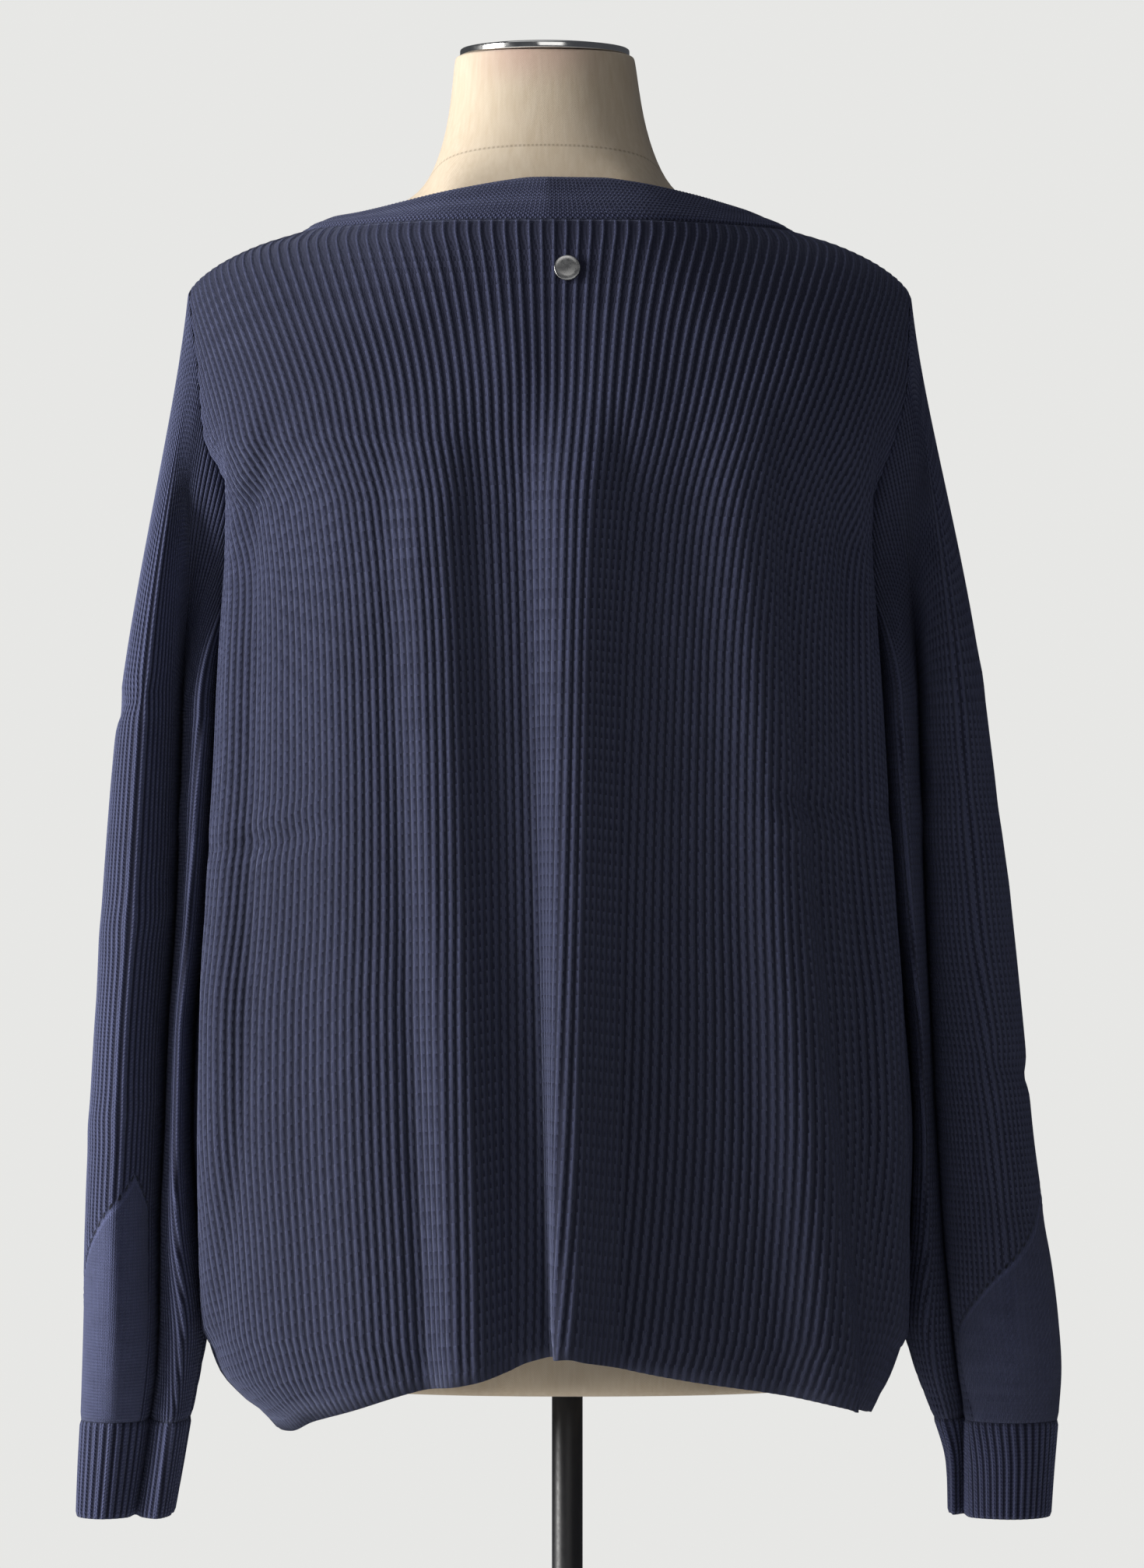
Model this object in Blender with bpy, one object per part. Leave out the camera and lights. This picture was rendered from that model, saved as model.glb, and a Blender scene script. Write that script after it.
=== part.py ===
"""Rib-knit cardigan on a dress form, in metres. Z is up, the back faces +Y and the wearer's left is +X."""

import math

import bpy
import numpy as np

# Cloth
RIBS_HALF = 60  # ribs from the centre back to a side seam
RIB_HEIGHT = 0.0011  # every other knitted rib is raised
WALL = 0.0018  # cloth under the ribs
SEAM_GAP = 0.0003
BODY_ROWS = 13
ROW_POWER = 2.2  # rows are closer together at the shoulders
UNDERARM_Z = 1.170
CORNER_Z = 1.386  # end of the shoulder seam
NECK_SEAM_Z = 1.4177
NECK_SEAM_RIBS = 25  # ribs from the centre back to the end of the neck seam
SUPER = 2.6  # roundness of the torso sections
SHOULDER_ROUND = 0.085  # height over which the shoulder turns from its ridge to the back
SHOULDER_POWER = 2.2

# Sections of the worn cardigan, in millimetres: height, left and right side, back and front depth
BODY = {
    "z": (745, 755, 768, 775, 792, 817, 870, 920, 975, 1044)
    + (1113, 1177, 1240, 1262, 1285, 1301, 1337, 1376, 1450),
    "left": (144, 150, 160, 169, 184, 191, 195, 198, 196, 188)
    + (181, 177, 171, 172, 184, 193, 197, 198, 198),
    "right": (164, 167, 172, 175, 183, 190, 194, 196, 193, 186)
    + (180, 177, 172, 176, 186, 193, 202, 200, 200),
    "back": (104, 106, 109, 110, 113, 115, 115, 113, 110, 107)
    + (109, 113, 116, 116, 114, 112, 103, 92, 78),
    "front": (112, 114, 117, 119, 122, 124, 126, 126, 124, 124)
    + (128, 132, 124, 119, 113, 108, 92, 76, 58),
}
# Top edge of the shoulders: distance from the middle, height
RIDGE = {
    "x": (0, 50, 80, 101, 132, 158, 176, 190, 198, 204, 209, 215),
    "z": (1470, 1460, 1444, 1431, 1418, 1410, 1402, 1393, 1385, 1374, 1350, 1200),
}
# How far the middle of the cloth and of the bust stand to the wearer's left, by height
MIDDLE = {
    "z": (740, 783, 1113, 1260, 1430, 1520),
    "cloth": (6, 6, 8.5, 9.5, 10.8, 12.5),
    "bust": (-6, -5, 4.5, 9.5, 10.8, 12.5),
}
# Ribs from the middle to the side, to the armhole's edge and to the V neck's edge, by height
SIDE_RIBS = {
    "z": (740, 1170, 1250, 1285, 1320, 1337, 1353, 1378, 1386, 1400, 1417.7, 1430, 1450),
    "ribs": (60, 60, 56.5, 54.5, 51, 48.5, 45.5, 40, 38, 33, 25, 21, 16),
}
ARM_RIBS = {
    "z": (1170, 1200, 1230, 1262, 1285, 1310, 1337, 1365, 1386),
    "ribs": (60, 57, 53.5, 49.5, 46.5, 44, 41.5, 39.7, 38),
}
NECK_RIBS = {
    "z": (740, 1100, 1130, 1200, 1300, 1380, 1417.7),
    "ribs": (6, 6, 7.2, 11, 17, 21.8, 25),
}
# Folds: place across the body at 1.25 m and at the hem, flat half-width, left and right slope, height at
# 1.25 m, 1.0 m and the hem, lean to the wearer's left (millimetres; back is 1 and front is -1)
FOLDS = {
    "face": (1, 1, 1, 1, 1, 1, -1, -1, -1, -1),
    "x_top": (-12, 68, 168, -96, -150, 122, 90, -95, 150, -150),
    "x_hem": (-16, 52, 150, -118, -165, 100, 80, -84, 140, -145),
    "flat": (6, 6, 5, 6, 4, 5, 5, 5, 4, 4),
    "left": (30, 42, 22, 30, 26, 24, 34, 34, 26, 26),
    "right": (38, 30, 24, 34, 22, 30, 34, 34, 26, 26),
    "top": (5, 3, 2, 3, 1, -1, 2, 2, 1, 1),
    "mid": (19, 9, 6, 9, 5, -3, 8, 8, 5, 5),
    "hem": (34, 16, 7, 14, 6, -5, 15, 15, 7, 7),
    "lean": (0.30, 0.0, 0.0, 0.1, 0.0, 0.0, 0.0, 0.0, 0.0, 0.0),
}
# Hem height across the back and across the front
HEM = {
    "x": (-170, -150, -107, -65, -35, -12, 0, 20, 32, 49, 80, 116, 135, 150, 170),
    "back": (766, 776, 786, 793, 799, 805, 808, 804, 799, 794, 788, 776, 769, 761, 758),
    "front": (766, 770, 776, 782, 786, 789, 790, 789, 787, 784, 779, 772, 767, 761, 758),
}
BAND_WIDTH = 0.0255
BAND_RAISE = 0.0018  # from the cloth's middle to the band's outside and its inside
BAND_UNDER = 0.0014
BAND_TOP_Z = 1.444
BAND_SIDE_Z = 1.431
FRONT_GAP = 0.003  # half the gap between the open fronts

# Sleeve sections: height, outer side, channel's two edges, side near the body, and how far the outer
# lobe, inner lobe, channel and front fold reach back (millimetres)
SLEEVE_LEFT = {
    "z": (706, 735, 765, 790, 820, 870, 920, 975, 1040, 1130, 1190),
    "out": (270.5, 269.5, 268, 267, 266, 265, 263, 260, 256, 249, 241),
    "lobe": (243, 238, 234, 231, 230, 230, 228, 226, 221.5, 218.5, 217),
    "inner": (235, 230, 226, 223, 222, 222, 220, 218, 213.5, 210, 208),
    "near": (220, 215, 210, 205.5, 201.2, 206, 208.7, 207.5, 200.6, 194.0, 189.5),
    "y_out": (20, 22, 25, 34, 42, 47, 49, 50, 50, 49, 48),
    "y_in": (18, 20, 22, 28, 36, 43, 45, 45, 45, 44, 40),
    "y_deep": (-3, -4, -5, -8, -14, -22, -26, -26, -25, -22, -16),
    "y_front": (-22, -24, -27, -35, -43, -49, -52, -53, -53, -52, -50),
}
SLEEVE_RIGHT = {
    "z": (706, 735, 765, 790, 820, 870, 920, 975, 1040, 1130, 1190),
    "out": (266, 268, 270.5, 272, 270, 263, 256, 251, 244.5, 233, 225.5),
    "lobe": (222, 222, 222, 219, 216, 212, 209, 206, 203, 200, 198),
    "inner": (216, 216, 216, 212, 209, 205, 202, 199, 195, 191.5, 190),
    "near": (213, 212, 204, 195, 188.2, 191.7, 193, 190, 182.2, 175.2, 171.5),
    "y_out": (22, 24, 27, 36, 44, 49, 51, 51, 50, 49, 48),
    "y_in": (-2, -1, 2, 12, 16, 10, 12, 26, 43, 43, 40),
    "y_deep": (-8, -9, -10, -12, -18, -26, -28, -27, -25, -22, -16),
    "y_front": (-22, -24, -27, -35, -43, -49, -52, -53, -53, -52, -50),
}
CUFF_TOP = 0.762
CUFF_END = 0.709
SLEEVE_TOP_Z = 1.150  # below this the sleeve's rings are level
SLEEVE_GAP = 0.0014  # from the armhole's edge to the sleeve's, at the sides and at the underarm
UNDERARM_GAP = 0.0034
SLEEVE_COLUMNS = 56
SLEEVE_HEAD_ROWS = 5
SLEEVE_ROWS = 8

# Dress form
BUST = {
    "z": (783, 787, 800, 860, 920, 1000, 1060, 1120, 1200, 1270)
    + (1320, 1350, 1375, 1390, 1410, 1425, 1437, 1454, 1472, 1514),
    "side": (150, 155, 159, 166, 160, 133, 120, 126, 141, 150)
    + (166, 178, 186, 187, 187, 187, 187, 67, 55, 50),
    "back": (92, 96, 98, 102, 99, 84, 76, 82, 95, 103)
    + (99, 92, 84, 78, 70, 62, 55, 50, 48, 46),
    "front": (86, 89, 92, 102, 104, 92, 86, 94, 119, 110)
    + (94, 80, 68, 62, 56, 52, 50, 48, 47, 46),
}
BUST_RIDGE = {
    "x": (0, 53, 60.6, 72.6, 88, 101, 132, 158, 172, 181, 186, 190),
    "z": (1760, 1640, 1456, 1437, 1430, 1427, 1414.0, 1406.0, 1399.5, 1392, 1381, 1200),
}
BUST_RINGS = (
    (783, 787, 800, 840, 890, 940, 995, 1050, 1110, 1170, 1230, 1290, 1335)
    + (1362, 1380, 1392, 1401, 1409, 1416, 1423, 1429, 1438, 1455, 1480, 1514)
)
BUST_SIDES = 28
NECK_TOP = 1.514
CAP_RADIUS = 0.0468
POLE_RADIUS = 0.0085
BUST_BOTTOM = 0.783
BASE_RADIUS = 0.175
BASE_HEIGHT = 0.014

NAVY = (0.012, 0.016, 0.045)
LINEN = (0.60, 0.53, 0.42)
STEEL = (0.72, 0.71, 0.69)
BLACK = (0.02, 0.02, 0.022)


def smooth(xs, ys, x):
    """Monotone cubic through a table's points."""
    xs, ys, x = np.asarray(xs, float), np.asarray(ys, float), np.asarray(x, float)
    h = np.diff(xs)
    d = np.diff(ys) / h
    m = np.zeros(len(ys))
    same = d[:-1] * d[1:] > 0
    m[1:-1][same] = (2 * d[:-1] * d[1:])[same] / (d[:-1] + d[1:])[same]
    m[0], m[-1] = d[0], d[-1]
    i = np.clip(np.searchsorted(xs, x) - 1, 0, len(xs) - 2)
    t = np.clip((x - xs[i]) / h[i], 0, 1)
    a, b = 1 - t, t
    return (
        ys[i] * a * a * (1 + 2 * t)
        + ys[i + 1] * b * b * (3 - 2 * t)
        + h[i] * (m[i] * t * a * a - m[i + 1] * t * t * a)
    )


def read(table, name, z):
    """A column of a table at a height in metres, back in metres."""
    return smooth(np.array(table["z"]) / 1000, np.array(table[name]) / 1000, z)


def step(t):
    return 0.5 - 0.5 * np.cos(np.pi * np.clip(t, 0, 1))


def ridge_reach(ridge, z):
    """How far from the middle the shoulder line comes down to this height."""
    x = np.linspace(0, ridge["x"][-1] / 1000, 600)
    line = smooth(np.array(ridge["x"]) / 1000, np.array(ridge["z"]) / 1000, x)
    return float(np.interp(-z, -line, x))


def quarter(sections, ridge, z, side, face, power, count=260):
    """Half of a level section's back or front, from its middle to its side."""
    wide = float(read(sections, side, z))
    deep = float(read(sections, face, z))
    reach = min(wide, ridge_reach(ridge, z))
    tau = np.linspace(0, math.pi / 2, count)
    x = reach * np.sin(tau) ** (2 / power if reach == wide else 1.0)
    y = deep * np.maximum(1 - (x / wide) ** power, 0) ** (1 / power)
    line = smooth(np.array(ridge["x"]) / 1000, np.array(ridge["z"]) / 1000, x)
    d = np.clip((line - z) / SHOULDER_ROUND, 0, 1)
    y = y * (1 - (1 - d) ** SHOULDER_POWER) ** (1 / SHOULDER_POWER)
    y[-1] = 0
    return x, y


def lengths(x, y):
    return np.concatenate([[0], np.cumsum(np.hypot(np.diff(x), np.diff(y)))])


def fold_height(place, z, face, half):
    """Height of the folds and their sideways lean at places along a section. half maps x to arc length."""
    total = np.zeros_like(place)
    lean = np.zeros_like(place)
    down = np.clip((1.25 - z) / (1.25 - 0.79), 0, 1)
    mid = np.clip((1.25 - z) / 0.25, 0, 1)
    low = np.clip((1.0 - z) / 0.21, 0, 1)
    for k, side in enumerate(FOLDS["face"]):
        if side != face:
            continue
        x0 = (FOLDS["x_top"][k] * (1 - down) + FOLDS["x_hem"][k] * down) / 1000
        x0 -= float(read(MIDDLE, "cloth", z))
        at = half(x0)
        fade = np.clip((1.335 - z) / 0.085, 0, 1)
        high = FOLDS["top"][k] * (1 - mid) + FOLDS["mid"][k] * mid
        high = (high * (1 - low) + FOLDS["hem"][k] * low) * step(fade) / 1000
        flat, left, right = (FOLDS[n][k] / 1000 for n in ("flat", "left", "right"))
        h = high * step((place - (at - flat - right)) / right)
        h = h * step(((at + flat + left) - place) / left)
        total += h
        lean += h * FOLDS["lean"][k]
    return total, lean


def body_section(z):
    """Points of the worn cloth's back and front at one height, right to left, and which is the middle one."""
    out = {}
    for face in ("back", "front"):
        sign = 1 if face == "back" else -1
        lx, ly = quarter(BODY, RIDGE, z, "left", face, SUPER)
        rx, ry = quarter(BODY, RIDGE, z, "right", face, SUPER)
        x = np.concatenate([-rx[:0:-1], lx])
        y = np.concatenate([ry[:0:-1], ly])
        place = lengths(x, y)
        place -= place[len(rx) - 1]
        h, lean = fold_height(place, z, sign, lambda v: np.interp(v, x, place))
        edge = step((place - place[0]) / 0.02) * step((place[-1] - place) / 0.02)
        h, lean = h * edge, lean * edge
        tx, ty = np.gradient(x), np.gradient(y)
        size = np.hypot(tx, ty)
        tx, ty = tx / size, ty / size
        x2 = x - ty * h + tx * lean
        y2 = y + tx * h + ty * lean
        out[face] = (x2, y2 * sign, len(rx) - 1)
    return out


class Cloth:
    """The torso's cloth as a table over height and place round it."""

    def __init__(self, low=0.735, high=1.4465, levels=240, places=321):
        self.z = np.linspace(low, high, levels)
        self.q = np.linspace(0, 1, places)
        self.xy = {}
        self.arc = {}
        for face in ("back", "front"):
            for side in ("left", "right"):
                self.xy[face, side] = np.zeros((levels, places, 2))
                self.arc[face, side] = np.zeros(levels)
        for level, z in enumerate(self.z):
            for face, (x, y, middle) in body_section(z).items():
                for side in ("left", "right"):
                    part = slice(middle, None) if side == "left" else slice(middle, None, -1)
                    px, py = x[part], y[part]
                    s = lengths(px, py)
                    self.arc[face, side][level] = s[-1]
                    self.xy[face, side][level, :, 0] = np.interp(self.q * s[-1], s, px)
                    self.xy[face, side][level, :, 1] = np.interp(self.q * s[-1], s, py)

    def length(self, face, side, z):
        return np.interp(z, self.z, self.arc[face, side])

    def point(self, face, side, q, z):
        grid = self.xy[face, side]
        fz = np.clip((z - self.z[0]) / (self.z[1] - self.z[0]), 0, len(self.z) - 1.001)
        fq = np.clip(q, 0, 1) * (len(self.q) - 1.001)
        i, j = fz.astype(int), fq.astype(int)
        a, b = (fz - i)[..., None], (fq - j)[..., None]
        xy = (grid[i, j] * (1 - b) + grid[i, j + 1] * b) * (1 - a)
        xy = xy + (grid[i + 1, j] * (1 - b) + grid[i + 1, j + 1] * b) * a
        xy[..., 0] += self.middle(z)
        return np.concatenate([xy, np.asarray(z)[..., None]], axis=-1)

    def middle(self, z):
        return read(MIDDLE, "cloth", z)

    def reach(self, side, z):
        """How far each place of the fronts is from the middle at this height."""
        level = int(round((z - self.z[0]) / (self.z[1] - self.z[0])))
        return np.maximum.accumulate(np.abs(self.xy["front", side][level, :, 0]))

    def normal(self, face, side, q, z):
        e = 0.006
        near = np.clip(q - e, 0, 1)
        far = np.clip(q + e, 0, 1)
        across = self.point(face, side, far, z) - self.point(face, side, near, z)
        up = self.point(face, side, q, z + 0.003) - self.point(face, side, q, z - 0.003)
        n = np.cross(across, up)
        n *= 1 if (face == "back") != (side == "left") else -1
        return n / np.linalg.norm(n, axis=-1, keepdims=True)


def ribs_at(table, z):
    return smooth(np.array(table["z"]) / 1000, table["ribs"], z)


def outer_rib(z):
    """Number of the outermost rib: at the side, then along the armhole, then along the shoulder."""
    side = ribs_at(SIDE_RIBS, z)
    arm = np.where(z < UNDERARM_Z, side, ribs_at(ARM_RIBS, z))
    return np.where(z < CORNER_Z, np.minimum(arm, side), side)


def column_top(face, ribs):
    """Where each rib of a panel starts."""
    z = np.linspace(UNDERARM_Z, BAND_TOP_Z, 400)
    top = np.interp(-ribs, -np.minimum.accumulate(outer_rib(z)), z)
    if face == "back":
        return np.minimum(top, NECK_SEAM_Z)
    line = np.linspace(1.10, NECK_SEAM_Z, 200)
    return np.minimum(top, np.interp(ribs, ribs_at(NECK_RIBS, line), line))


def hem_height(cloth, face, side, ribs):
    z = np.full(len(ribs), 0.785)
    for _ in range(4):
        x = cloth.point(face, side, ribs / RIBS_HALF, z)[:, 0]
        z = smooth(np.array(HEM["x"]) / 1000, np.array(HEM[face]) / 1000, x)
    return z


def row_heights(top, low, rows):
    v = np.linspace(0, 1, rows)[:, None] ** ROW_POWER
    return top[None] * (1 - v) + low[None] * v


def panel_side(cloth, face, side, ribs, rows):
    """Base points and normals of half a panel, a row for each height."""
    z = row_heights(column_top(face, ribs), hem_height(cloth, face, side, ribs), rows)
    z[0] -= SEAM_GAP / 2
    gap = SEAM_GAP / 2 / cloth.length(face, side, z)
    q = ribs[None] / ribs_at(SIDE_RIBS, z)
    q = np.minimum(q, outer_rib(z) / ribs_at(SIDE_RIBS, z) - gap)
    if face == "front":
        clear = gap * (1 + 6 * step((z - 1.385) / 0.015))
        q = np.maximum(q, ribs_at(NECK_RIBS, z) / ribs_at(SIDE_RIBS, z) + clear)
    return cloth.point(face, side, q, z), cloth.normal(face, side, q, z)


def shell(name, outer, inner, closed, material):
    """One closed wall from two grids of points (rows down, columns across).

    inner may have every other column.
    """
    rows, many = outer.shape[:2]
    few = inner.shape[1]
    ratio = 2 if few < many else 1
    points = np.concatenate([outer.reshape(-1, 3), inner.reshape(-1, 3)])
    start = rows * many
    faces = []

    def o(r, c):
        return r * many + (c % many)

    def i(r, c):
        return start + r * few + (c % few)

    for r in range(rows - 1):
        for c in range(many if closed else many - 1):
            faces.append((o(r, c), o(r + 1, c), o(r + 1, c + 1), o(r, c + 1)))
        for c in range(few if closed else few - 1):
            faces.append((i(r, c), i(r, c + 1), i(r + 1, c + 1), i(r + 1, c)))
    for c in range(few if closed else few - 1):
        a = c * ratio
        if ratio == 2:
            faces.append((o(0, a), o(0, a + 1), i(0, c)))
            faces.append((o(0, a + 1), i(0, c + 1), i(0, c)))
            faces.append((o(0, a + 1), o(0, a + 2), i(0, c + 1)))
            faces.append((o(rows - 1, a + 1), o(rows - 1, a), i(rows - 1, c)))
            faces.append((o(rows - 1, a + 1), i(rows - 1, c), i(rows - 1, c + 1)))
            faces.append((o(rows - 1, a + 2), o(rows - 1, a + 1), i(rows - 1, c + 1)))
        else:
            faces.append((o(0, a), o(0, a + 1), i(0, c + 1), i(0, c)))
            faces.append((o(rows - 1, a + 1), o(rows - 1, a), i(rows - 1, c), i(rows - 1, c + 1)))
    if not closed:
        for r in range(rows - 1):
            faces.append((o(r + 1, 0), o(r, 0), i(r, 0), i(r + 1, 0)))
            faces.append((o(r, many - 1), o(r + 1, many - 1), i(r + 1, few - 1), i(r, few - 1)))
    return solid(name, points, faces, material)


def solid(name, points, faces, material):
    mesh = bpy.data.meshes.new(name)
    mesh.from_pydata([tuple(p) for p in points], [], faces)
    mesh.materials.append(material)
    obj = bpy.data.objects.new(name, mesh)
    bpy.context.scene.collection.objects.link(obj)
    p = np.asarray(points)
    volume = 0.0
    for f in faces:
        for k in range(1, len(f) - 1):
            volume += np.dot(p[f[0]], np.cross(p[f[k]], p[f[k + 1]]))
    if volume < 0:
        mesh.flip_normals()
    return obj


def material(name, colour, rough, metal):
    made = bpy.data.materials.new(name)
    made.use_nodes = True
    shader = made.node_tree.nodes["Principled BSDF"]
    shader.inputs["Base Color"].default_value = (*colour, 1)
    shader.inputs["Roughness"].default_value = rough
    shader.inputs["Metallic"].default_value = metal
    return made


def build_back(cloth, knit):
    ribs = np.arange(RIBS_HALF + 1.0)
    left_p, left_n = panel_side(cloth, "back", "left", ribs, BODY_ROWS)
    right_p, right_n = panel_side(cloth, "back", "right", ribs, BODY_ROWS)
    base = np.concatenate([right_p[:, :0:-1], left_p], axis=1)
    normal = np.concatenate([right_n[:, :0:-1], left_n], axis=1)
    raised("back", base, normal, knit)


def raised(name, base, normal, knit):
    """A wall whose outer points rise at every other column, over a plain inside."""
    crest = np.zeros(base.shape[1])
    crest[1::2] = RIB_HEIGHT
    outer = base + normal * crest[None, :, None]
    inner = base[:, ::2] - normal[:, ::2] * WALL
    return shell(name, outer, inner, False, knit)


def build_front(cloth, side, knit):
    ribs = np.arange(NECK_RIBS["ribs"][0], RIBS_HALF + 1.0)
    base, normal = panel_side(cloth, "front", side, ribs, BODY_ROWS)
    raised("front_" + side, base, normal, knit)


def inset_place(cloth, side, q, z, width):
    """Place on the fronts this far towards the middle, level with q, and clear of the other front."""
    x = np.abs(cloth.point("front", side, q, z)[..., 0] - cloth.middle(z)) - width
    x = np.maximum(x, FRONT_GAP)
    return np.array([np.interp(a, cloth.reach(side, b), cloth.q) for a, b in zip(x, z)])


def band_rows(cloth, side):
    """Half of the band, from the hem up the front and round to the back's middle: places q and z."""
    across = np.linspace(0, 1, 3)[None]
    first = NECK_RIBS["ribs"][0]
    low = hem_height(cloth, "front", side, np.array([float(first)]))
    straight = row_heights(column_top("front", np.array([float(first)])), low, BODY_ROWS)[::-1, 0]
    slope = column_top("front", np.arange(first + 1.0, NECK_SEAM_RIBS))
    outer = np.concatenate([straight, slope, [NECK_SEAM_Z]])
    rise = np.clip((outer - 1.10) / (NECK_SEAM_Z - 1.10), 0, 1)
    inner = outer + (BAND_SIDE_Z - NECK_SEAM_Z) * rise
    oq = ribs_at(NECK_RIBS, outer) / ribs_at(SIDE_RIBS, outer)
    iq = inset_place(cloth, side, oq, outer, BAND_WIDTH)
    iq[-1] = 1.0
    clear = SEAM_GAP / 2 * (1 + 4 * step((outer - 1.10) / 0.02) + 5 * step((outer - 1.385) / 0.015))
    oq = oq - clear / cloth.length("front", side, outer)
    oz = outer[:, None] * (1 - across) + inner[:, None] * across
    front = (oq[:, None] * (1 - across) + iq[:, None] * across, oz)
    ribs = np.arange(NECK_SEAM_RIBS - 1.0, -1, -1)
    q = ribs / NECK_SEAM_RIBS
    top = BAND_TOP_Z - (BAND_TOP_Z - BAND_SIDE_Z) * q * q
    low = np.full(len(q), NECK_SEAM_Z + SEAM_GAP)
    back = (q[:, None] + 0 * across, low[:, None] * (1 - across) + top[:, None] * across)
    return front, back


def build_band(cloth, knit):
    """Neck and front band, hem to hem, as one strip."""
    points, normals = [], []
    for side in ("left", "right"):
        front, back = band_rows(cloth, side)
        p = [cloth.point("front", side, *front), cloth.point("back", side, *back)]
        n = [cloth.normal("front", side, *front), cloth.normal("back", side, *back)]
        points.append(np.concatenate(p))
        normals.append(np.concatenate(n))
    base = np.concatenate([points[0], points[1][-2::-1]])
    normal = np.concatenate([normals[0], normals[1][-2::-1]])
    base, normal = base.transpose(1, 0, 2), normal.transpose(1, 0, 2)
    # The underside has the finer grid here, so that it follows the bust closely
    outside = (base + normal * BAND_RAISE)[:, ::2]
    shell("neck_band", base - normal * BAND_UNDER, outside, False, knit)


def stepped(line, count):
    """An open line's points at this many equal steps, its end left out."""
    s = np.concatenate([[0], np.cumsum(np.linalg.norm(np.diff(line[:, :3], axis=0), axis=1))])
    at = np.linspace(0, s[-1], count, endpoint=False)
    return np.stack([np.interp(at, s, values) for values in line.T], axis=1)


def resampled(points, count):
    """A closed loop's points at equal steps from its first."""
    return stepped(np.concatenate([points, points[:1]]), count)


def spline(points, per=12):
    """A closed smooth curve through points (centripetal Catmull-Rom)."""
    p = np.asarray(points, float)
    n = len(p)
    made = []
    for k in range(n):
        a, b, c, d = p[k - 1], p[k], p[(k + 1) % n], p[(k + 2) % n]
        t1 = np.linalg.norm(b - a) ** 0.5
        t2 = t1 + np.linalg.norm(c - b) ** 0.5
        t3 = t2 + np.linalg.norm(d - c) ** 0.5
        t = np.linspace(t1, t2, per, endpoint=False)[:, None]
        a1 = (t1 - t) / t1 * a + t / t1 * b
        a2 = (t2 - t) / (t2 - t1) * b + (t - t1) / (t2 - t1) * c
        a3 = (t3 - t) / (t3 - t2) * c + (t - t2) / (t3 - t2) * d
        b1 = (t2 - t) / t2 * a1 + t / t2 * a2
        b2 = (t3 - t) / (t3 - t1) * a2 + (t - t1) / (t3 - t1) * a3
        made.append((t2 - t) / (t2 - t1) * b1 + (t - t1) / (t2 - t1) * b2)
    return np.concatenate(made)


def sleeve_ring(table, z, sign, count):
    """One level section of a hanging sleeve: two lobes and the channel between them, open to the back."""
    names = ("out", "lobe", "inner", "near", "y_out", "y_in", "y_deep", "y_front")
    out, lobe, inner, near, yo, yi, yd, yf = (float(read(table, n, z)) for n in names)
    wide = out - near
    corners = (
        (out, 0.1 * yo),
        (out - 0.16 * (out - lobe), 0.72 * yo),
        (lobe + 0.48 * (out - lobe), yo),
        (lobe + 0.02 * (out - lobe), yd + 0.66 * (yo - yd)),
        (0.55 * lobe + 0.45 * inner, yd),
        (inner - 0.05 * (inner - near), yd + 0.66 * (yi - yd)),
        (0.5 * (inner + near) - 0.001, yi),
        (near + 0.0002, 0.4 * yi - 0.004),
        (near + 0.0003, 0.36 * yf),
        (near - 0.0006, 0.70 * yf),
        (near + 0.5 * wide, yf),
        (out - 0.13 * wide, 0.66 * yf),
    )
    ring = np.array([(sign * x, y, z) for x, y in corners])
    return resampled(spline(ring), count)


def armhole_loop(cloth, side, count, turn):
    """The armhole's edge and where the cloth faces there: turn steps down the back, the rest up the front."""
    near_corner = np.linspace(CORNER_Z, CORNER_Z - 0.02, 12)
    z = np.concatenate([near_corner, np.linspace(CORNER_Z - 0.024, UNDERARM_Z, 60)])
    q = outer_rib(z - 1e-4) / ribs_at(SIDE_RIBS, z)
    back, front = (
        np.concatenate([cloth.point(face, side, q, z), cloth.normal(face, side, q, z)], axis=1)
        for face in ("back", "front")
    )
    loop = np.concatenate([stepped(back, turn), stepped(front[::-1], count - turn)])
    loop[:, 3] = 0
    return loop


def sleeve_grid(cloth, table, side, count):
    """Base points of a sleeve, a row for each ring from the armhole to the cuff, and their directions."""
    sign = 1 if side == "left" else -1
    first = sleeve_ring(table, SLEEVE_TOP_Z, sign, count)
    edge = armhole_loop(cloth, side, count, int(np.abs(first[:, 0]).argmin()))
    start, facing = edge[:, :3].copy(), edge[:, 3:]
    low = 1 - step((start[:, 2:3] - UNDERARM_Z) / 0.08)
    start[:, 0] += sign * (SLEEVE_GAP + (UNDERARM_GAP - SLEEVE_GAP) * low[:, 0])
    push = np.clip(start[:, 2:3] - first[:, 2:3], 0.02, 0.3)
    outer = np.abs(first[:, :1])
    outer = (outer - outer.min()) / np.ptp(outer)
    spread = 0.03 * outer * push + (1 - outer) * (0.003 + 0.14 * push)
    leave = start + np.concatenate([sign * spread, 0 * push, -0.30 * push], axis=1)
    arrive = first + np.concatenate([-sign * 0.055 * outer**2 * push, 0 * push, 0.42 * push], axis=1)
    rows = []
    for t in np.linspace(0, 1, SLEEVE_HEAD_ROWS, endpoint=False):
        a = 1 - t
        rows.append(a**3 * start + 3 * a * a * t * leave + 3 * a * t * t * arrive + t**3 * first)
    for z in np.linspace(SLEEVE_TOP_Z, CUFF_TOP + SEAM_GAP, SLEEVE_ROWS):
        rows.append(sleeve_ring(table, z, sign, count))
    grid = np.array(rows)
    normal = grid_normals(grid)
    flush = facing * (1 - low) + normal[0] * low
    normal[0] = flush / np.linalg.norm(flush, axis=1, keepdims=True)
    return grid, normal


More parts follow.
